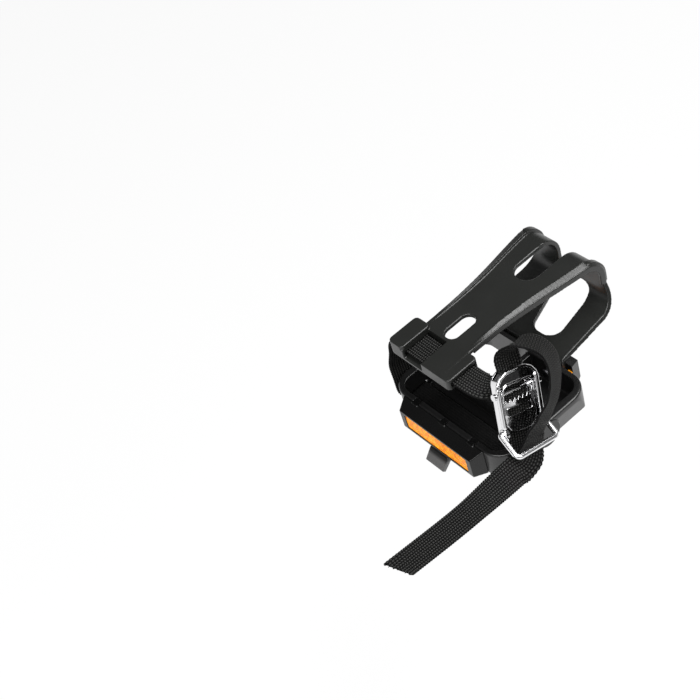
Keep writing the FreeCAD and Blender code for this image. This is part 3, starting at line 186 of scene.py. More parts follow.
soft_lamp("key_lamp", (0.62, -0.85, 1.45), width=1.5, height=1.2, watts=34.0)
soft_lamp("edge_lamp", (0.36, 0.55, 1.16), width=1.0, height=0.5, watts=15.0)
soft_lamp("side_lamp", (1.10, 0.44, 0.80), width=0.5, height=0.4, watts=4.0)
bpy.context.scene.view_settings.view_transform = "Standard"
print("three soft lamps")

# %% [markdown]
# ## Black card
# Plated metal among white looks white all over. A photographer stands a black card beside it, out of the picture,
# and its dark reflection draws the edges. This card stands where the buckle's face looks. A darker sky would do it
# too, but would take the light from everything else.

# %% Black card
CARD_PLACE = Vector((1.00, 0.42, -0.13))
CARD_WIDTH, CARD_HEIGHT = 0.9, 0.34
CARD_COLOUR = (0.01, 0.01, 0.01)
card = painted_sheet("black_card", "card_paint", CARD_WIDTH, CARD_HEIGHT, CARD_COLOUR)
card_turn = (PEDAL_MIDDLE - CARD_PLACE).to_track_quat("Z", "Y")
card.matrix_world = Matrix.Translation(CARD_PLACE) @ card_turn.to_matrix().to_4x4()
card.visible_camera = False
print("black card", CARD_WIDTH, "by", CARD_HEIGHT, "m")

# %% [markdown]
# ## Shared effects as node groups
# Grain and handling marks turn up on several finishes, so each is built once as a node group with named sockets.
# A group gives back masks, heights and values; the shader itself stays in each material.

# %% Small helpers for node groups
def new_group(name, inputs, outputs):
    """Empty node group with float inputs and outputs, and its two end nodes."""
    group = bpy.data.node_groups.new(name, "ShaderNodeTree")
    for label, value in inputs.items():
        socket = group.interface.new_socket(label, in_out="INPUT", socket_type="NodeSocketFloat")
        socket.default_value = value
    for label in outputs:
        group.interface.new_socket(label, in_out="OUTPUT", socket_type="NodeSocketFloat")
    return group, group.nodes.new("NodeGroupInput"), group.nodes.new("NodeGroupOutput")


def calc(tree, operation, first, second=None):
    """Math node fed by sockets or plain numbers; gives its output socket."""
    node = tree.nodes.new("ShaderNodeMath")
    node.operation = operation
    for slot, value in enumerate((first, second)):
        if value is None:
            continue
        if isinstance(value, (int, float)):
            node.inputs[slot].default_value = value
        else:
            tree.links.new(value, node.inputs[slot])
    return node.outputs[0]


def noise(tree, place, scale, detail=3.0, roughness=0.5):
    """Noise texture at a place; scale may be a socket."""
    node = tree.nodes.new("ShaderNodeTexNoise")
    tree.links.new(place, node.inputs["Vector"])
    if isinstance(scale, (int, float)):
        node.inputs["Scale"].default_value = scale
    else:
        tree.links.new(scale, node.inputs["Scale"])
    node.inputs["Detail"].default_value = detail
    node.inputs["Roughness"].default_value = roughness
    return node.outputs["Fac"]


# %% Moulded grain: the fine matt texture left by a steel mould
grain, grain_in, grain_out = new_group(
    "moulded_grain", {"Scale": 2500.0, "Roughness": 0.45, "Spread": 0.15}, ["Height", "Roughness"])
BROAD_SCALE = 45.0
grain_place = grain.nodes.new("ShaderNodeTexCoord").outputs["Object"]
fine = noise(grain, grain_place, grain_in.outputs["Scale"])
broad = noise(grain, grain_place, BROAD_SCALE, detail=2.0)
swing = calc(grain, "MULTIPLY", calc(grain, "SUBTRACT", broad, 0.5), grain_in.outputs["Spread"])
grain.links.new(calc(grain, "ADD", grain_in.outputs["Roughness"], swing), grain_out.inputs["Roughness"])
grain.links.new(fine, grain_out.inputs["Height"])
print("group", grain.name)

# %% Handling marks: pale rubs and hair scratches that use leaves on any hard surface
marks, marks_in, marks_out = new_group("handling_marks", {"Amount": 0.5, "Scale": 60.0}, ["Mask"])
HAIRS_FINER = 6.0
HAIR_FROM, HAIR_GAIN = 0.6, 6.0
PATCH_FROM, PATCH_GAIN = 0.5, 4.0
marks_place = marks.nodes.new("ShaderNodeTexCoord").outputs["Object"]
stretch = marks.nodes.new("ShaderNodeMapping")
stretch.inputs["Scale"].default_value = (1.0, 9.0, 2.0)
stretch.inputs["Rotation"].default_value = (0.3, 0.5, 0.7)
marks.links.new(marks_place, stretch.inputs["Vector"])
hair_scale = calc(marks, "MULTIPLY", marks_in.outputs["Scale"], HAIRS_FINER)
hairs = noise(marks, stretch.outputs["Vector"], hair_scale, detail=6.0, roughness=0.7)
patches = noise(marks, marks_place, marks_in.outputs["Scale"], roughness=0.6)
hair_mask = calc(marks, "MULTIPLY", calc(marks, "SUBTRACT", hairs, HAIR_FROM), HAIR_GAIN)
patch_mask = calc(marks, "MULTIPLY", calc(marks, "SUBTRACT", patches, PATCH_FROM), PATCH_GAIN)
both = calc(marks, "MULTIPLY", calc(marks, "MAXIMUM", hair_mask, 0.0), calc(marks, "MAXIMUM", patch_mask, 0.0))
limited = calc(marks, "MINIMUM", calc(marks, "MULTIPLY", both, marks_in.outputs["Amount"]), 1.0)
marks.links.new(limited, marks_out.inputs["Mask"])
print("group", marks.name)

# %% [markdown]
# ## Weave
# Webbing of this kind shows only its lengthwise yarns: each one bulges between two crossings. Yarns lie in pairs, and
# one pair is half a step on from the next, like bricks. A picture of webbing would stretch in the bends. Here the
# strap carries a UV map that counts yarns and crossings, and a few sums draw the weave from it.

# %% Weave group
YARNS_IN_STEP = 2
STEP_SHIFT = 0.5
CROSSING_FALL = 0.85
weave, weave_in, weave_out = new_group("webbing_weave", {"Sharp": 2.0}, ["Height", "Crest"])
weave_uv = weave.nodes.new("ShaderNodeTexCoord").outputs["UV"]
weave_split = weave.nodes.new("ShaderNodeSeparateXYZ")
weave.links.new(weave_uv, weave_split.inputs[0])
yarn_place, pick_place = weave_split.outputs["X"], weave_split.outputs["Y"]
pair_place = calc(weave, "FLOOR", calc(weave, "DIVIDE", yarn_place, YARNS_IN_STEP))
shifted_pick = calc(weave, "ADD", pick_place, calc(weave, "MULTIPLY", pair_place, STEP_SHIFT))


def crown(place, fall):
    """Rounded profile: one at the middle of each whole step, falling towards its ends."""
    offset = calc(weave, "SUBTRACT", calc(weave, "FRACT", place), 0.5)
    square = calc(weave, "MULTIPLY", calc(weave, "MULTIPLY", offset, offset), 4.0 * fall)
    return calc(weave, "SUBTRACT", 1.0, square)


bulge = calc(weave, "MULTIPLY", crown(yarn_place, 1.0), crown(shifted_pick, CROSSING_FALL))
weave.links.new(bulge, weave_out.inputs["Height"])
# Crest, the bulge made sharper, is where the webbing puts its painted sheen; elsewhere it paints painted shade.
weave.links.new(calc(weave, "POWER", bulge, weave_in.outputs["Sharp"]), weave_out.inputs["Crest"])
print("group", weave.name)

# %% [markdown]
# ## Finishes
# Each finish is one material: a Principled shader whose constant values are typed on its own sockets, and whose
# changing values come from the groups.

# %% Helper: a material with a group in it
def finish(name, **sockets):
    """Material with a Principled shader and its constant sockets set."""
    material = bpy.data.materials.new(name)
    material.use_nodes = True
    shader = material.node_tree.nodes["Principled BSDF"]
    for label, value in sockets.items():
        shader.inputs[label.replace("_", " ")].default_value = value
    return material, material.node_tree, shader


def place_group(tree, group, **values):
    """Group node in a material with its own input values."""
    node = tree.nodes.new("ShaderNodeGroup")
    node.node_tree = group
    for label, value in values.items():
        node.inputs[label].default_value = value
    return node


def blend_colour(tree, mask, low, high):
    """Mix of two colours by a mask; gives the colour socket."""
    mix = tree.nodes.new("ShaderNodeMix")
    mix.data_type = "RGBA"
    tree.links.new(mask, mix.inputs["Factor"])
    mix.inputs["A"].default_value = (*low, 1)
    mix.inputs["B"].default_value = (*high, 1)
    return mix.outputs["Result"]


def raise_surface(tree, shader, height, distance, strength):
    """Bump node that turns a height into a surface normal."""
    bump = tree.nodes.new("ShaderNodeBump")
    bump.inputs["Distance"].default_value = distance
    bump.inputs["Strength"].default_value = strength
    tree.links.new(height, bump.inputs["Height"])
    tree.links.new(bump.outputs["Normal"], shader.inputs["Normal"])


# %% Moulded resins
def moulded_resin(name, colour, rubbed, roughness, amount, gloss=0.55):
    """Satin black resin with mould grain and a few pale rubs."""
    material, tree, shader = finish(name, Specular_IOR_Level=gloss)
    texture = place_group(tree, grain, Scale=2200.0, Roughness=roughness, Spread=0.14)
    rubs = place_group(tree, marks, Amount=amount, Scale=70.0)
    tree.links.new(blend_colour(tree, rubs.outputs["Mask"], colour, rubbed), shader.inputs["Base Color"])
    tree.links.new(texture.outputs["Roughness"], shader.inputs["Roughness"])
    raise_surface(tree, shader, texture.outputs["Height"], distance=0.06 * MM, strength=0.5)
    return material


def paint_sheen_below(material, top, bottom, tone):
    """Lets the resin turn paler from one height down to another: painted sheen standing in for the floor's
    reflection.
    """
    tree = material.node_tree
    shader = tree.nodes["Principled BSDF"]
    plain = shader.inputs["Base Color"].links[0].from_socket
    height = tree.nodes.new("ShaderNodeSeparateXYZ")
    tree.links.new(tree.nodes.new("ShaderNodeTexCoord").outputs["Object"], height.inputs[0])
    sheen_share = tree.nodes.new("ShaderNodeMapRange")
    sheen_share.inputs["From Min"].default_value = top
    sheen_share.inputs["From Max"].default_value = bottom
    tree.links.new(height.outputs["Z"], sheen_share.inputs["Value"])
    mix = tree.nodes.new("ShaderNodeMix")
    mix.data_type = "RGBA"
    tree.links.new(sheen_share.outputs["Result"], mix.inputs["Factor"])
    tree.links.new(plain, mix.inputs["A"])
    mix.inputs["B"].default_value = (tone, tone, tone, 1)
    tree.links.new(mix.outputs["Result"], shader.inputs["Base Color"])


TAB_TOP, TAB_SHEEN_FULL = -12.5 * MM, -14.5 * MM
body_resin = moulded_resin("body_resin", (0.006, 0.006, 0.006), (0.05, 0.05, 0.05), roughness=0.30, amount=0.4)
# The tab's lowest part is painted paler: painted sheen for the floor's reflection on it.
paint_sheen_below(body_resin, TAB_TOP, TAB_SHEEN_FULL, tone=0.10)
clip_resin = moulded_resin("clip_resin", (0.010, 0.0105, 0.0095), (0.06, 0.06, 0.056), roughness=0.33, amount=0.4)
reflector_resin = moulded_resin("reflector_resin", (0.003, 0.003, 0.003), (0.03, 0.03, 0.03), roughness=0.26,
                                amount=0.3, gloss=0.3)
seal_rubber = moulded_resin("seal_rubber", (0.012, 0.012, 0.012), (0.05, 0.05, 0.05), roughness=0.65, amount=0.3)
print("resins", body_resin.name, clip_resin.name, reflector_resin.name)


# %% Metals
RUBBED_METAL = 0.55


def bright_metal(name, colour, roughness, spread, amount):
    """Plated or machined metal with faint scratches."""
    material, tree, shader = finish(name, Metallic=1.0)
    texture = place_group(tree, grain, Scale=900.0, Roughness=roughness, Spread=spread)
    rubs = place_group(tree, marks, Amount=amount, Scale=140.0)
    dull = tuple(RUBBED_METAL * part for part in colour)
    tree.links.new(blend_colour(tree, rubs.outputs["Mask"], colour, dull), shader.inputs["Base Color"])
    tree.links.new(texture.outputs["Roughness"], shader.inputs["Roughness"])
    raise_surface(tree, shader, texture.outputs["Height"], distance=0.02 * MM, strength=0.25)
    return material


plated_steel = bright_metal("plated_steel", (0.83, 0.83, 0.84), roughness=0.07, spread=0.06, amount=0.5)
plated_wire = bright_metal("plated_wire", (0.90, 0.90, 0.91), roughness=0.22, spread=0.06, amount=0.3)
steel = bright_metal("steel", (0.55, 0.55, 0.56), roughness=0.32, spread=0.15, amount=0.6)
screw_steel = bright_metal("screw_steel", (0.09, 0.09, 0.095), roughness=0.34, spread=0.15, amount=0.5)
bearing_steel = bright_metal("bearing_steel", (0.68, 0.68, 0.70), roughness=0.14, spread=0.08, amount=0.3)
print("metals", plated_steel.name, steel.name)

# %% Webbing, with painted shade where it runs low through the pedal
# The gaps between yarns are painted near black as painted shade, and the crests carry the yarn's colour with painted
# sheen on it.
GAP_SHADE_COLOUR, YARN_AND_SHEEN_COLOUR = (0.0002, 0.0002, 0.0002), (0.050, 0.050, 0.048)
# Below a height the yarns are painted darker: painted shade where the strap runs low through the pedal's pockets.
SHADED_BELOW, UNSHADED_ABOVE = -2.0 * MM, 6.0 * MM
SHADED_SHARE = 0.12
FIBRE_SHARE = 0.18
webbing, webbing_tree, webbing_shader = finish("webbing", Specular_IOR_Level=0.12)
threads = place_group(webbing_tree, weave, Sharp=3.0)
fuzz = place_group(webbing_tree, grain, Scale=5200.0, Roughness=0.55, Spread=0.2)
webbing_place = webbing_tree.nodes.new("ShaderNodeSeparateXYZ")
webbing_tree.links.new(webbing_tree.nodes.new("ShaderNodeTexCoord").outputs["Object"], webbing_place.inputs[0])
unshaded = webbing_tree.nodes.new("ShaderNodeMapRange")
unshaded.inputs["From Min"].default_value = SHADED_BELOW
unshaded.inputs["From Max"].default_value = UNSHADED_ABOVE
unshaded.inputs["To Min"].default_value = SHADED_SHARE
webbing_tree.links.new(webbing_place.outputs["Z"], unshaded.inputs["Value"])
yarn_light = calc(webbing_tree, "MULTIPLY", threads.outputs["Crest"], unshaded.outputs["Result"])
yarn_colour = blend_colour(webbing_tree, yarn_light, GAP_SHADE_COLOUR, YARN_AND_SHEEN_COLOUR)
webbing_tree.links.new(yarn_colour, webbing_shader.inputs["Base Color"])
webbing_tree.links.new(fuzz.outputs["Roughness"], webbing_shader.inputs["Roughness"])
fibre = calc(webbing_tree, "MULTIPLY", fuzz.outputs["Height"], FIBRE_SHARE)
webbing_relief = calc(webbing_tree, "ADD", threads.outputs["Height"], fibre)
raise_surface(webbing_tree, webbing_shader, webbing_relief, distance=0.3 * MM, strength=0.8)
print("webbing with", len(webbing_tree.nodes), "nodes")

# %% [markdown]
# The reflector's lens is clear amber plastic with rows of small prisms moulded in its back. Real prisms would
# need thousands of facets, so a grid of small squares, each with its own brightness, stands for them.

# %% Amber lens
DEEP_AMBER, BRIGHT_AMBER = (0.62, 0.085, 0.0005), (1.0, 0.42, 0.008)
PRISM_SCALE, PRISM_SCATTER, PRISM_SHARE = 520.0, 0.12, 0.6
CLOUD_SCALE, CLOUD_SHARE = 60.0, 0.5
# The lens's amber also goes into its emission, so it glows a little: painted glow standing in for its bright
# retroreflection.
amber_lens, amber_tree, amber_shader = finish("amber_lens", Roughness=0.3, Specular_IOR_Level=0.12,
                                               Emission_Strength=0.35)
amber_place = amber_tree.nodes.new("ShaderNodeTexCoord").outputs["Object"]
prism_rows = amber_tree.nodes.new("ShaderNodeTexVoronoi")
prism_rows.distance = "CHEBYCHEV"
prism_rows.inputs["Scale"].default_value = PRISM_SCALE
prism_rows.inputs["Randomness"].default_value = PRISM_SCATTER
amber_tree.links.new(amber_place, prism_rows.inputs["Vector"])
prism_tone = amber_tree.nodes.new("ShaderNodeSeparateColor")
amber_tree.links.new(prism_rows.outputs["Color"], prism_tone.inputs["Color"])
clouds = noise(amber_tree, amber_place, CLOUD_SCALE, detail=2.0)
tone = calc(amber_tree, "ADD", calc(amber_tree, "MULTIPLY", prism_tone.outputs["Red"], PRISM_SHARE),
            calc(amber_tree, "MULTIPLY", clouds, CLOUD_SHARE))
amber = blend_colour(amber_tree, tone, DEEP_AMBER, BRIGHT_AMBER)
amber_tree.links.new(amber, amber_shader.inputs["Base Color"])
amber_tree.links.new(amber, amber_shader.inputs["Emission Color"])
raise_surface(amber_tree, amber_shader, prism_rows.outputs["Distance"], distance=0.6 * MM, strength=0.6)
print("lens", amber_lens.name)

# %% [markdown]
# ## Moulded pieces
# A moulding has no sharp edges. The solids from the engineering model do, so each visible moulding is copied,
# wrapped in a fine skin of small squares and relaxed a little: the remesh rounds every edge by about the size of a
# square, and the relaxing takes the steps out. A bevel would be the other way, but it stumbles on the many short
# edges of a tessellated solid.

# %% Helper: a softened copy of solids
def softened_copy(name, sources, square, relax, keep=1.0, turn=None, extras=(), swell=0.0, reshape=None):
    """One skin round copies of the named solids, with edges rounded by about one square.

    turn is a frame to work in, for a piece that lies askew; extras are meshes in that frame, joined before the skin
    is made; swell thickens the skin; reshape moves the finished points in that frame."""
    turn = turn or Matrix.Identity(4)
    joined = bmesh.new()
    for source in sources:
        copy = nodes[source].data.copy()
        joined.from_mesh(copy)
        bpy.data.meshes.remove(copy)
    bmesh.ops.transform(joined, matrix=turn.inverted(), verts=joined.verts)
    for extra in extras:
        joined.from_mesh(extra)
        bpy.data.meshes.remove(extra)
    bmesh.ops.remove_doubles(joined, verts=joined.verts, dist=1e-7)
    mesh = bpy.data.meshes.new(name)
    joined.to_mesh(mesh)
    joined.free()
    piece = bpy.data.objects.new(name, mesh)
    bpy.context.scene.collection.objects.link(piece)
    skin = piece.modifiers.new("skin", "REMESH")
    skin.mode = "VOXEL"
    skin.voxel_size = square
    ease = piece.modifiers.new("ease", "SMOOTH")
    ease.factor = 0.5
    ease.iterations = relax
    if swell:
        fatten = piece.modifiers.new("fatten", "DISPLACE")
        fatten.strength = swell
        fatten.mid_level = 0.0
    if keep < 1.0:
        thin = piece.modifiers.new("thin", "DECIMATE")
        thin.ratio = keep
    return settle(piece, turn, reshape)


def settle(piece, turn=None, reshape=None):
    """Applies a piece's modifiers, puts it back in the model's frame and shades it smooth."""
    bpy.context.view_layer.update()
    solved = piece.evaluated_get(bpy.context.evaluated_depsgraph_get())
    mesh = bpy.data.meshes.new_from_object(solved)
    old = piece.data
    piece.modifiers.clear()
    piece.data = mesh
    bpy.data.meshes.remove(old)
    if reshape:
        flat = np.empty(3 * len(mesh.vertices))
        mesh.vertices.foreach_get("co", flat)
        mesh.vertices.foreach_set("co", reshape(flat.reshape(-1, 3)).ravel())
    if turn:
        mesh.transform(turn)
    mesh.polygons.foreach_set("use_smooth", [True] * len(mesh.polygons))
    mesh.update()
    return piece


def dress(piece, body, slot, material, *replaced):
    """Gives a piece its finish, makes it ride on a body and hides the solids it stands for."""
    piece.data.materials.clear()
    piece.data.materials.append(material)
    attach(piece, body)
    if replaced:
        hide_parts(*replaced)
    print(piece.name, len(piece.data.polygons), "faces, rides on", body)


# %% Body
body = softened_copy("body_moulding", ["pedal_body"], square=0.45 * MM, relax=3, keep=0.4)
dress(body, "pedal", "body_resin", body_resin, "pedal_body")

# %% [markdown]
# The clip's two edge ridges slope away outwards, which is what makes the outboard one shine. The solid has them flat
# on top, so the skin's points there are lowered towards the outside. Rays shot down on the solid find, for every
# slice across the clip, how high the plate is and where each ridge begins and ends.

# %% Rays on the toe clip
CLIP_X = 51.0
RAY_START = 0.2
CLIP_MIDDLE = CLIP_X * MM
clip_solid = bmesh.new()
clip_solid.from_mesh(nodes["toe_clip"].data)
clip_tree = BVHTree.FromBMesh(clip_solid)
clip_solid.free()


def top_at(x, y):
    """Height of the clip's upper side, or nothing where a ray misses it."""
    hit = clip_tree.ray_cast(Vector((x, y, RAY_START)), Vector((0, 0, -1)))[0]
    return hit.z if hit else None


print("clip ready for rays from", RAY_START, "m")

# %% Find the ridges on the toe clip
RIDGE_HEIGHT = 1.6 * MM
RIDGE_WIDEST = 8.0
RIDGE_TAPER = 22.0 * MM
RIDGE_SLOPE = 0.85
SLICES = np.arange(-8.0, 84.0, 1.0) * MM
REACH = np.arange(8.0, 42.0, 0.25)
ridge_slices = []
for y in SLICES:
    row = [y, 0.0]
    for side in (-1, 1):
        tops = [(x, top_at(CLIP_MIDDLE + side * x * MM, y)) for x in REACH]
        tops = [(x, z) for x, z in tops if z]
        if not tops:
            break
        highest = max(z for x, z in tops)
        raised = [x for x, z in tops if z > highest - RIDGE_HEIGHT / 3]
        if max(raised) - min(raised) > RIDGE_WIDEST:
            break
        row[1] = highest - RIDGE_HEIGHT
        row += [min(raised) * MM, max(raised) * MM]
    if len(row) == 6:
        ridge_slices.append(row)
ridge_table = np.array(ridge_slices)
print("ridges found in", len(ridge_table), "slices, to", round(ridge_table[-1, 0] / MM), "mm forward")


def slope_ridges(points):
    """Lowers the outer side of each ridge, so that its top slopes outwards, and its rear end, so that it tapers."""
    x, y, z = points[:, 0] - CLIP_MIDDLE, points[:, 1], points[:, 2]
    plate = np.interp(y, ridge_table[:, 0], ridge_table[:, 1])
    inside = (y > ridge_table[0, 0] - 2.0 * MM) & (y < ridge_table[-1, 0])
    taper = np.clip((y - ridge_table[0, 0]) / RIDGE_TAPER, 0.0, 1.0)
    left = x < 0
    begin = np.where(left, np.interp(y, ridge_table[:, 0], ridge_table[:, 2]),
                     np.interp(y, ridge_table[:, 0], ridge_table[:, 4]))
    end = np.where(left, np.interp(y, ridge_table[:, 0], ridge_table[:, 3]),
                   np.interp(y, ridge_table[:, 0], ridge_table[:, 5]))
    share = np.clip((np.abs(x) - begin) / (end - begin), 0.0, 1.0)
    raised = np.clip(z - plate, 0.0, None)
    points[:, 2] = np.where(inside & (z > plate), plate + raised * taper * (1.0 - RIDGE_SLOPE * share), z)
    return points


# %% Toe clip
toe_clip = softened_copy("toe_clip_moulding", ["toe_clip"], square=0.42 * MM, relax=4, keep=0.5,
                         reshape=slope_ridges)
dress(toe_clip, "pedal", "clip_resin", clip_resin, "toe_clip")

# %% Reflector housings
for end in ("rear", "front"):
    housing = softened_copy(end + "_housing_moulding", [end + "_reflector_housing"], square=0.32 * MM, relax=3,
                            keep=0.4)
    dress(housing, "pedal", "reflector_resin", reflector_resin, end + "_reflector_housing")

# %% [markdown]
# ## Buckle
# The buckle lies askew. A skin of squares set askew to a thin plate would leave steps on it, so the buckle's copies
# are made in its own frame, where its plates are square to the grid.

# %% Buckle's frame of directions
CLIP_TOP_Z = 57.0 * MM
BUCKLE_CENTRE = Vector((110.9 * MM, -15.8 * MM, CLIP_TOP_Z - 14.5 * MM))
BUCKLE_UP = Vector((-0.340, 0.311, 0.889)).normalized()
BUCKLE_ACROSS = Vector((0.092, 0.948, -0.303))
buckle_side = (BUCKLE_ACROSS - BUCKLE_UP * BUCKLE_ACROSS.dot(BUCKLE_UP)).normalized()
buckle_face = buckle_side.cross(BUCKLE_UP)
buckle_frame = Matrix.Translation(BUCKLE_CENTRE) @ Matrix(
    (buckle_side, BUCKLE_UP, buckle_face)).transposed().to_4x4()
print("buckle faces", [round(part, 2) for part in buckle_face])

# %% [markdown]
# A pressed plate with holes is easiest to draw as a flat filled curve: the loops give its outline and its holes, and
# the curve's own thickness makes it solid. A bead, the rounded lip of a pressed edge, is a round line along a path.

# %% Helpers: a flat plate and a bead
def drawn(curve):
    """Mesh of a curve, which is then thrown away."""
    holder = bpy.data.objects.new(curve.name, curve)
    bpy.context.scene.collection.objects.link(holder)
    bpy.context.view_layer.update()
    mesh = bpy.data.meshes.new_from_object(holder.evaluated_get(bpy.context.evaluated_depsgraph_get()))
    bpy.data.objects.remove(holder)
    bpy.data.curves.remove(curve)
    return mesh


def add_line(curve, places, closed):
    """Straight-sided line in a curve, through places in millimetres."""
    line = curve.splines.new("POLY")
    line.points.add(len(places) - 1)
    for point, place in zip(line.points, places):
        point.co = (*(Vector(place).to_3d() * MM), 1.0)
    line.use_cyclic_u = closed


def flat_plate(loops, thickness):
    """Plate with the first loop as its outline and the others as holes."""
    curve = bpy.data.curves.new("plate", "CURVE")
    curve.dimensions = "2D"
    curve.fill_mode = "BOTH"
    curve.extrude = thickness / 2 * MM
    for loop in loops:
        add_line(curve, loop, True)
    return drawn(curve)


def bead(places, radius, closed=False):
    """Round bar along a path."""
    curve = bpy.data.curves.new("bead", "CURVE")
    curve.dimensions = "3D"
    curve.bevel_depth = radius * MM
    curve.bevel_resolution = 3
    curve.use_fill_caps = True
    add_line(curve, places, closed)
    return drawn(curve)


def mirrored(half):
    """Path given from its middle to its right end, carried over to the left."""
    return [(-place[0], *place[1:]) for place in reversed(half)] + list(half)


# %% Buckle's frame with a beaded arch, a beaded window and knuckles for the bail
WALL_TOP = 5.0
ARCH_BEAD, WINDOW_BEAD = 1.0, 0.6
KNUCKLE_ALONG, KNUCKLE_OUT, KNUCKLE_RADIUS = -14.5, 3.0, 3.0
KNUCKLE_INSIDE, KNUCKLE_OUTSIDE = 11.6, 14.7
arch_rim = mirrored([(3.0, 23.0, WALL_TOP), (7.5, 22.3, WALL_TOP), (11.5, 20.2, WALL_TOP), (14.2, 16.5, WALL_TOP),
                     (15.0, 11.0, WALL_TOP)])
window_rim = mirrored([(8.2, 14.9, WALL_TOP + 0.2), (10.2, 13.8, WALL_TOP + 0.2), (11.2, 11.6, WALL_TOP),
                       (11.6, 5.0, WALL_TOP - 0.4)])
knuckles = [bead([(side * KNUCKLE_INSIDE, KNUCKLE_ALONG, KNUCKLE_OUT),
                  (side * KNUCKLE_OUTSIDE, KNUCKLE_ALONG, KNUCKLE_OUT)], KNUCKLE_RADIUS) for side in (-1, 1)]
frame_plated = softened_copy("buckle_frame_plated", ["buckle_frame"], square=0.2 * MM, relax=4, keep=0.5,
                             turn=buckle_frame,
                             extras=[bead(arch_rim, ARCH_BEAD), bead(window_rim, WINDOW_BEAD), *knuckles])
dress(frame_plated, "pedal", "plated_steel", plated_steel, "buckle_frame")

# %% Buckle's cam: a plate with teeth and a slot, pressed into a dip and a lifted tongue
PIN_ALONG, PIN_OUT = 10.0, 3.4
TEETH, TOOTH_LOW, TOOTH_HIGH = 6, 2.4, 4.8
ARM_INSIDE, ARM_OUTSIDE = 9.9, 12.1
CAM_THICKNESS, CAM_CROWN = 1.2, 0.5
LIP_RADIUS, LIP_LIFT = 0.42, 0.35
HUB_RADIUS = 2.1
CAM_ALONG = [-15.4, -9.0, -4.0, 1.0, 4.4, 8.0, PIN_ALONG]
CAM_OUT = [4.3, 3.7, 3.2, 2.4, 1.9, 3.0, PIN_OUT]
tooth_pitch = 2 * ARM_INSIDE / TEETH
tooth_line = []
for k in range(TEETH):
    left = -ARM_INSIDE + k * tooth_pitch
    tooth_line += [(left, TOOTH_LOW), (left + tooth_pitch / 2, TOOTH_HIGH)]
tooth_line.append((ARM_INSIDE, TOOTH_LOW))
right_side = [(ARM_INSIDE, 11.0), (ARM_OUTSIDE, 11.0), (ARM_OUTSIDE, -4.0), (11.2, -9.5), (9.0, -13.6),
              (5.5, CAM_ALONG[0])]
left_side = [(-across, along) for across, along in reversed(right_side)]
slot_right = [(8.6, -0.4), (9.2, -1.2), (9.2, -4.4), (8.6, -5.2)]
slot = slot_right + [(-across, along) for across, along in reversed(slot_right)]


def press_cam(points):
    """Dips the plate at its teeth, lifts its tongue and crowns it across."""
    along, across = points[:, 1] / MM, points[:, 0] / MM
    crown_drop = CAM_CROWN * (across / ARM_OUTSIDE) ** 2
    points[:, 2] += (np.interp(along, CAM_ALONG, CAM_OUT) - crown_drop) * MM
    return points


slot_lip = bead([(across, along, LIP_LIFT) for across, along in slot], LIP_RADIUS, True)
hubs = [bead([(side * ARM_INSIDE, PIN_ALONG, 0.0), (side * ARM_OUTSIDE, PIN_ALONG, 0.0)], HUB_RADIUS)
        for side in (-1, 1)]
cam_plate = flat_plate([tooth_line + right_side + left_side, slot], CAM_THICKNESS)
cam_plated = softened_copy("buckle_cam_plated", [], square=0.18 * MM, relax=3, keep=0.5, turn=buckle_frame,
                           extras=[cam_plate, slot_lip, *hubs], reshape=press_cam)
dress(cam_plated, "buckle_cam", "plated_steel", plated_steel, "buckle_cam")

# %% Buckle's bail
bail_plated = softened_copy("buckle_bail_plated", ["buckle_bail"], square=0.2 * MM, relax=5, keep=0.5,
                            turn=buckle_frame, swell=0.3 * MM)
dress(bail_plated, "buckle_bail", "plated_steel", plated_wire, "buckle_bail")

# %% [markdown]
# ## Strap
# Webbing is flat, so it is drawn as a ribbon: a route of stations, each with a place and the direction of the
# strap's width, joined by a smooth curve. A cloth simulation could drape it, but a strap pulled through slots and
# a buckle goes where it is led.

# %% Strap's route, in millimetres, from its riveted end to its tail
MIDDLE_X = 63.0
BODY_INBOARD = 11.0
BODY_OUTBOARD = 115.0
STRAP_Y = -25.0
STRAP_SLOT_Z = -5.5
STRAP_HOLDER_Z = 52.7
HOLDER_HALF = 27.5
BUCKLE_END = 23.0
BUCKLE_BACK = -3.4
INBOARD_X = BODY_INBOARD - 1.8
OUTBOARD_X = BODY_OUTBOARD + 1.8
TAIL_X = OUTBOARD_X + 7.0
TAIL_Y = -38.0
TAIL_LENGTH = 92.0
STRAP_WIDTH = 19.0
STRAP_THICKNESS = 1.6
LEFT = Vector((0, -1, 0))


def on_buckle(across, along, out):
    """Point in the buckle's own directions, in millimetres."""
    return (BUCKLE_CENTRE / MM) + buckle_side * across + BUCKLE_UP * along + buckle_face * out


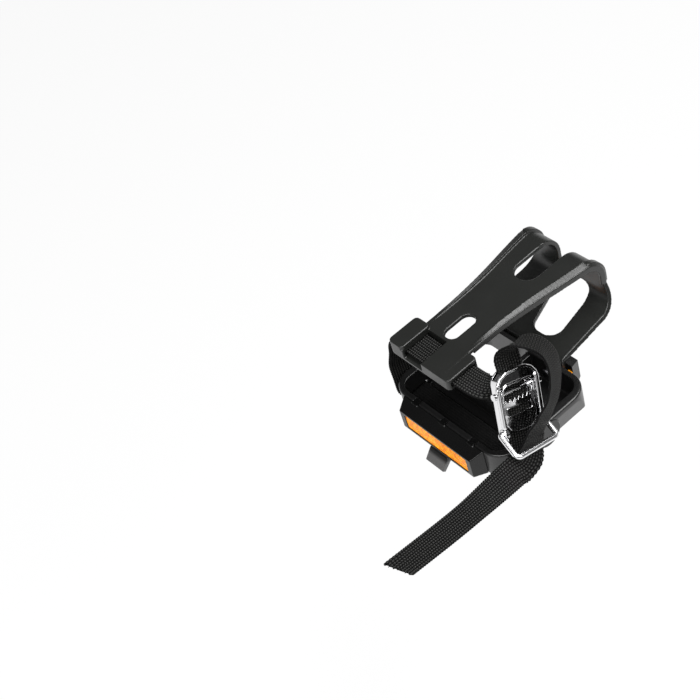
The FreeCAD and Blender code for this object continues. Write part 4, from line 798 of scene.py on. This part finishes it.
LOOP_STATIONS = [
    (-1.0, 32.5, 0.8, 0.05), (2.5, 38.0, 6.0, 0.26), (9.0, 37.5, 11.5, 0.51), (15.5, 32.0, 15.0, 0.65),
    (19.5, 22.5, 16.0, 0.61), (20.3, 10.0, 14.5, 0.58), (16.6, -1.5, 13.5, 0.51), (8.2, -11.5, 12.6, 0.36),
    (2.0, -19.5, 10.4, 0.18),
]
strap_loop = [(on_buckle(across, along, out), buckle_face * lean - buckle_side)
              for across, along, out, lean in LOOP_STATIONS]
strap_route = [
    (on_buckle(0, -17.0, BUCKLE_BACK), -buckle_side),
    (on_buckle(0, -7.0, BUCKLE_BACK), -buckle_side),
    (on_buckle(-0.5, 2.0, BUCKLE_BACK - 0.6), -buckle_side),
    (on_buckle(-3.0, 9.0, BUCKLE_BACK - 4.4), -buckle_side),
    (Vector((MIDDLE_X + 30.0, STRAP_Y + 2.5, STRAP_HOLDER_Z - 2.0)), Vector((-0.1, -1, 0))),
    (Vector((CLIP_X + HOLDER_HALF + 1.0, STRAP_Y, STRAP_HOLDER_Z)), LEFT),
    (Vector((CLIP_X, STRAP_Y, STRAP_HOLDER_Z)), LEFT),
    (Vector((CLIP_X - HOLDER_HALF - 1.0, STRAP_Y, STRAP_HOLDER_Z)), LEFT),
    (Vector((CLIP_X - HOLDER_HALF - 6.0, STRAP_Y, STRAP_HOLDER_Z - 4.0)), LEFT),
    (Vector((CLIP_X - HOLDER_HALF - 9.5, STRAP_Y, STRAP_HOLDER_Z - 15.0)), LEFT),
    (Vector((INBOARD_X - 1.0, STRAP_Y, STRAP_HOLDER_Z - 32.0)), LEFT),
    (Vector((INBOARD_X - 1.0, STRAP_Y, STRAP_SLOT_Z + 14.0)), LEFT),
    (Vector((INBOARD_X - 1.0, STRAP_Y, STRAP_SLOT_Z + 3.5)), LEFT),
    (Vector((INBOARD_X - 0.3, STRAP_Y, STRAP_SLOT_Z + 0.7)), LEFT),
    (Vector((INBOARD_X + 1.8, STRAP_Y, STRAP_SLOT_Z)), LEFT),
    (Vector((MIDDLE_X, STRAP_Y, STRAP_SLOT_Z)), LEFT),
    (Vector((OUTBOARD_X - 1.8, STRAP_Y, STRAP_SLOT_Z)), LEFT),
    (Vector((OUTBOARD_X + 0.3, STRAP_Y, STRAP_SLOT_Z + 0.7)), LEFT),
    (Vector((OUTBOARD_X + 1.0, STRAP_Y, STRAP_SLOT_Z + 3.5)), LEFT),
    (Vector((OUTBOARD_X + 2.0, STRAP_Y, STRAP_SLOT_Z + 12.0)), LEFT),
    (on_buckle(0, -BUCKLE_END - 3.0, 0), -buckle_side),
    (on_buckle(0, 0, 0), -buckle_side),
    (on_buckle(0, BUCKLE_END + 1.0, 0), -buckle_side),
    *strap_loop,
    (on_buckle(1.5, -26.5, 6.5), -buckle_side),
    (Vector((TAIL_X + 3.0, -29.0, 11.5)), Vector((-0.6, -0.65, 0.5))),
    (Vector((TAIL_X + 0.5, TAIL_Y, 8.0)), Vector((-0.92, -0.25, 0.25))),
    (Vector((TAIL_X, TAIL_Y - 0.45 * TAIL_LENGTH, 7.0)), Vector((-1, 0, 0))),
    (Vector((TAIL_X - 2.5, TAIL_Y - TAIL_LENGTH, 8.0)), Vector((-1, 0.1, 0))),
]
print("strap route of", len(strap_route), "stations")


# %% Helper: a smooth line through the stations
def between(before, start, end, after, share):
    """Point on a smooth curve from start to end, led in and out by their neighbours."""
    square, cube = share ** 2, share ** 3
    lead_in = (end - before) * ((end - start).length / (end - before).length)
    lead_out = (after - start) * ((end - start).length / (after - start).length)
    return (start * (2 * cube - 3 * square + 1) + lead_in * (cube - 2 * square + share)
            + end * (3 * square - 2 * cube) + lead_out * (cube - square))


def follow(route, step):
    """Places and width directions along a route, about one step apart."""
    line = []
    for k in range(len(route) - 1):
        start, end = route[k][0], route[k + 1][0]
        before = route[k - 1][0] if k else start * 2 - end
        after = route[k + 2][0] if k + 2 < len(route) else end * 2 - start
        count = max(2, round((end - start).length / step))
        for n in range(count):
            share = n / count
            ease = share * share * (3 - 2 * share)
            line.append((between(before, start, end, after, share), route[k][1].lerp(route[k + 1][1], ease)))
    line.append(route[-1])
    return line


# %% [markdown]
# ## Weaving the strap
# From near by, webbing is not a smooth band: every yarn swells where it crosses over its neighbour. A bump map would
# leave the outline straight, so here the mesh itself is woven. It has three squares to a yarn and four to a crossing,
# and each point is lifted by the height of the yarn below it. The arrays do in one sum what a loop would do slowly.

# %% Even steps along the line
YARN_ACROSS = 10
PICK_LENGTH = 1.65
ROWS_PER_PICK = 4
POINTS_PER_YARN = 3
ROUGH_STEP = 0.5
rough_line = follow(strap_route, ROUGH_STEP)
rough_places = np.array([place for place, wide in rough_line])
rough_wides = np.array([wide for place, wide in rough_line])
hops = np.linalg.norm(np.diff(rough_places, axis=0), axis=1)
rough_travel = np.concatenate([[0.0], np.cumsum(hops)])
row_count = int(rough_travel[-1] / PICK_LENGTH * ROWS_PER_PICK)
travel = np.linspace(0.0, rough_travel[-1], row_count)
places = np.stack([np.interp(travel, rough_travel, rough_places[:, axis]) for axis in range(3)], 1)
wides = np.stack([np.interp(travel, rough_travel, rough_wides[:, axis]) for axis in range(3)], 1)
aheads = np.gradient(places, axis=0)
aheads /= np.linalg.norm(aheads, axis=1, keepdims=True)
wides -= aheads * (wides * aheads).sum(1, keepdims=True)
wides /= np.linalg.norm(wides, axis=1, keepdims=True)
thicks = np.cross(wides, aheads)
print("strap is", round(rough_travel[-1]), "mm long, in", row_count, "rows")


# %% Woven height and section
TINY = 1e-6
WEAVE_HEIGHT = 0.42
WEAVE_SUNK = 0.25
EDGE_SWELL = 0.7
EDGE_ROUND = 0.45
EDGE_INSET = 0.1


def woven_height(yarn, pick):
    """Height from 0 to 1 of the weave, at places counted in yarns across and picks along."""
    step = pick + STEP_SHIFT * np.floor(yarn / YARNS_IN_STEP + TINY) + TINY
    across_crown = 1.0 - (2.0 * ((yarn + TINY) % 1.0) - 1.0) ** 2
    along_crown = 1.0 - CROSSING_FALL * (2.0 * (step % 1.0) - 1.0) ** 2
    return across_crown * along_crown


half_wide, half_thick = STRAP_WIDTH / 2, STRAP_THICKNESS / 2 - WEAVE_SUNK
yarns = np.linspace(0.0, YARN_ACROSS, YARN_ACROSS * POINTS_PER_YARN + 1)
picks = travel / PICK_LENGTH
side_of_yarn = (yarns / YARN_ACROSS * 2 - 1) * (half_wide - EDGE_ROUND)
swell = EDGE_SWELL * (np.abs(np.sin(np.pi * picks)) - 0.5)
upper_lift = half_thick + WEAVE_HEIGHT * woven_height(yarns[None, :], picks[:, None])
edge_side = (half_wide - EDGE_INSET + swell)[:, None]
flat = np.zeros((row_count, 1))
full_side = np.repeat(side_of_yarn[None, :], row_count, 0)
sides = np.concatenate([full_side, edge_side, full_side[:, ::-1], -edge_side], 1)
lifts = np.concatenate([-upper_lift, flat, upper_lift[:, ::-1], flat], 1)
ring = sides.shape[1]
print("section of", ring, "points")

# %% Frayed slanting tip: the last rows lean, each yarn ending at its own length
TIP_ROWS = 18
TIP_SLANT = 4.0
rows_left = row_count - 1 - np.arange(row_count)
lean = np.clip(1.0 - rows_left / TIP_ROWS, 0.0, 1.0)[:, None]
fray = 0.6 * np.sin(sides / half_wide * 23.0) + 0.4 * np.sin(sides / half_wide * 41.0 + 1.0)
slide = lean * (TIP_SLANT * sides / half_wide + fray)
points = (places[:, None, :] + wides[:, None, :] * sides[..., None] + thicks[:, None, :] * lifts[..., None]
          + aheads[:, None, :] * slide[..., None])
print("tip leans", TIP_SLANT, "mm")

# %% Strap mesh with a UV map that counts yarns
row, column = np.meshgrid(np.arange(row_count - 1), np.arange(ring), indexing="ij")
after = (column + 1) % ring
quads = np.stack([row * ring + column, row * ring + after, (row + 1) * ring + after, (row + 1) * ring + column], -1)
strap_faces = quads.reshape(-1, 4).tolist()
last = (row_count - 1) * ring
strap_faces += [tuple(reversed(range(ring))), tuple(range(last, last + ring))]
strap_mesh = bpy.data.meshes.new("strap_webbing")
strap_mesh.from_pydata((points.reshape(-1, 3) * MM).tolist(), [], strap_faces)
yarn_counts = np.clip((sides / (half_wide - EDGE_ROUND) + 1) / 2 * YARN_ACROSS, 0.0, YARN_ACROSS)
pick_counts = np.repeat(picks[:, None], ring, 1)
strap_uvs = np.stack([yarn_counts, pick_counts], -1).reshape(-1, 2)
corners = np.empty(len(strap_mesh.loops), dtype=np.int32)
strap_mesh.loops.foreach_get("vertex_index", corners)
uv_layer = strap_mesh.uv_layers.new(name="yarns")
uv_layer.data.foreach_set("uv", strap_uvs[corners].ravel())
strap_mesh.polygons.foreach_set("use_smooth", [True] * len(strap_mesh.polygons))
strap = bpy.data.objects.new("strap_webbing", strap_mesh)
bpy.context.scene.collection.objects.link(strap)
dress(strap, "pedal", "webbing", webbing, "toe_strap")

# %% [markdown]
# ## Thread on the spindle
# The solid has a plain stud at the thread's full size. A thread is a surface whose radius rises and falls along the
# stud and shifts by one pitch in each turn, so a grid of angles and lengths gives it directly.

# %% Thread on the spindle
THREAD_RADIUS = 7.17
THREAD_DEPTH = 0.32
THREAD_PITCH = 1.27
THREAD_FROM, THREAD_TO = -13.0, -0.4
TURN_POINTS = 72
PITCH_POINTS = 8
lengths = np.arange(THREAD_FROM, THREAD_TO, THREAD_PITCH / PITCH_POINTS)
angles = np.arange(TURN_POINTS) * 2 * math.pi / TURN_POINTS
length_grid, angle_grid = np.meshgrid(lengths, angles, indexing="ij")
phase = (length_grid / THREAD_PITCH - angle_grid / (2 * math.pi)) % 1.0
run_in = np.clip((length_grid - THREAD_FROM) / THREAD_PITCH, 0, 1)
run_out = np.clip((THREAD_TO - length_grid) / THREAD_PITCH, 0, 1)
radius = THREAD_RADIUS + THREAD_DEPTH * run_in * run_out * (1.0 - np.abs(2.0 * phase - 1.0))
thread_points = np.stack([length_grid, radius * np.cos(angle_grid), radius * np.sin(angle_grid)], -1) * MM
thread_faces = [(k * TURN_POINTS + n, k * TURN_POINTS + (n + 1) % TURN_POINTS,
                 (k + 1) * TURN_POINTS + (n + 1) % TURN_POINTS, (k + 1) * TURN_POINTS + n)
                for k in range(len(lengths) - 1) for n in range(TURN_POINTS)]
thread_mesh = bpy.data.meshes.new("spindle_thread")
thread_mesh.from_pydata(thread_points.reshape(-1, 3).tolist(), [], thread_faces)
thread_mesh.polygons.foreach_set("use_smooth", [True] * len(thread_mesh.polygons))
thread = bpy.data.objects.new("spindle_thread", thread_mesh)
bpy.context.scene.collection.objects.link(thread)
dress(thread, "spindle", "steel", steel)

# %% [markdown]
# ## Painted glint at the end of the front lens
# The front reflector faces away, yet a spot of amber shows at its outboard end, on the housing's back. It could be a
# hole that lets the lens be seen. A small rounded block of the lens's own plastic, glowing a little like the lens, is
# put there as a painted glint.

# %% Painted glint at the end of the front lens
LENS_END_LOW, LENS_END_HIGH = Vector((91.6, 42.3, 0.6)), Vector((95.2, 43.2, 5.4))
LENS_END_ROUND = 0.25 * MM
lens_end_mesh = bpy.data.meshes.new("front_lens_glint")
lens_end_shape = bmesh.new()
bmesh.ops.create_cube(lens_end_shape, size=1.0)
lens_end_size = LENS_END_HIGH - LENS_END_LOW
bmesh.ops.transform(lens_end_shape, verts=lens_end_shape.verts, matrix=Matrix.Translation(
    (LENS_END_LOW + LENS_END_HIGH) / 2 * MM) @ Matrix.Diagonal((*(lens_end_size * MM), 1.0)))
bmesh.ops.bevel(lens_end_shape, geom=lens_end_shape.edges[:], offset=LENS_END_ROUND, segments=2, affect="EDGES")
lens_end_shape.to_mesh(lens_end_mesh)
lens_end_shape.free()
lens_end = bpy.data.objects.new("front_lens_glint", lens_end_mesh)
bpy.context.scene.collection.objects.link(lens_end)
dress(lens_end, "pedal", "amber_lens", amber_lens)

# %% [markdown]
# ## Finishes for the solids that stay
# Small machined pieces are right as they are. They only get their finishes.

# %% Finishes for the solids that stay
finishes = {
    "steel": steel, "bearing_steel": bearing_steel, "seal_rubber": seal_rubber, "body_resin": body_resin,
    "amber_lens": amber_lens, "screw_steel": screw_steel, "plated_steel": plated_steel,
    "reflector_resin": reflector_resin, "clip_resin": clip_resin, "webbing": webbing,
}
for subpart in frame["record"]["subparts"]:
    node = nodes[subpart["node"]]
    node.data.materials.clear()
    node.data.materials.append(finishes[subpart["material_slot"]])
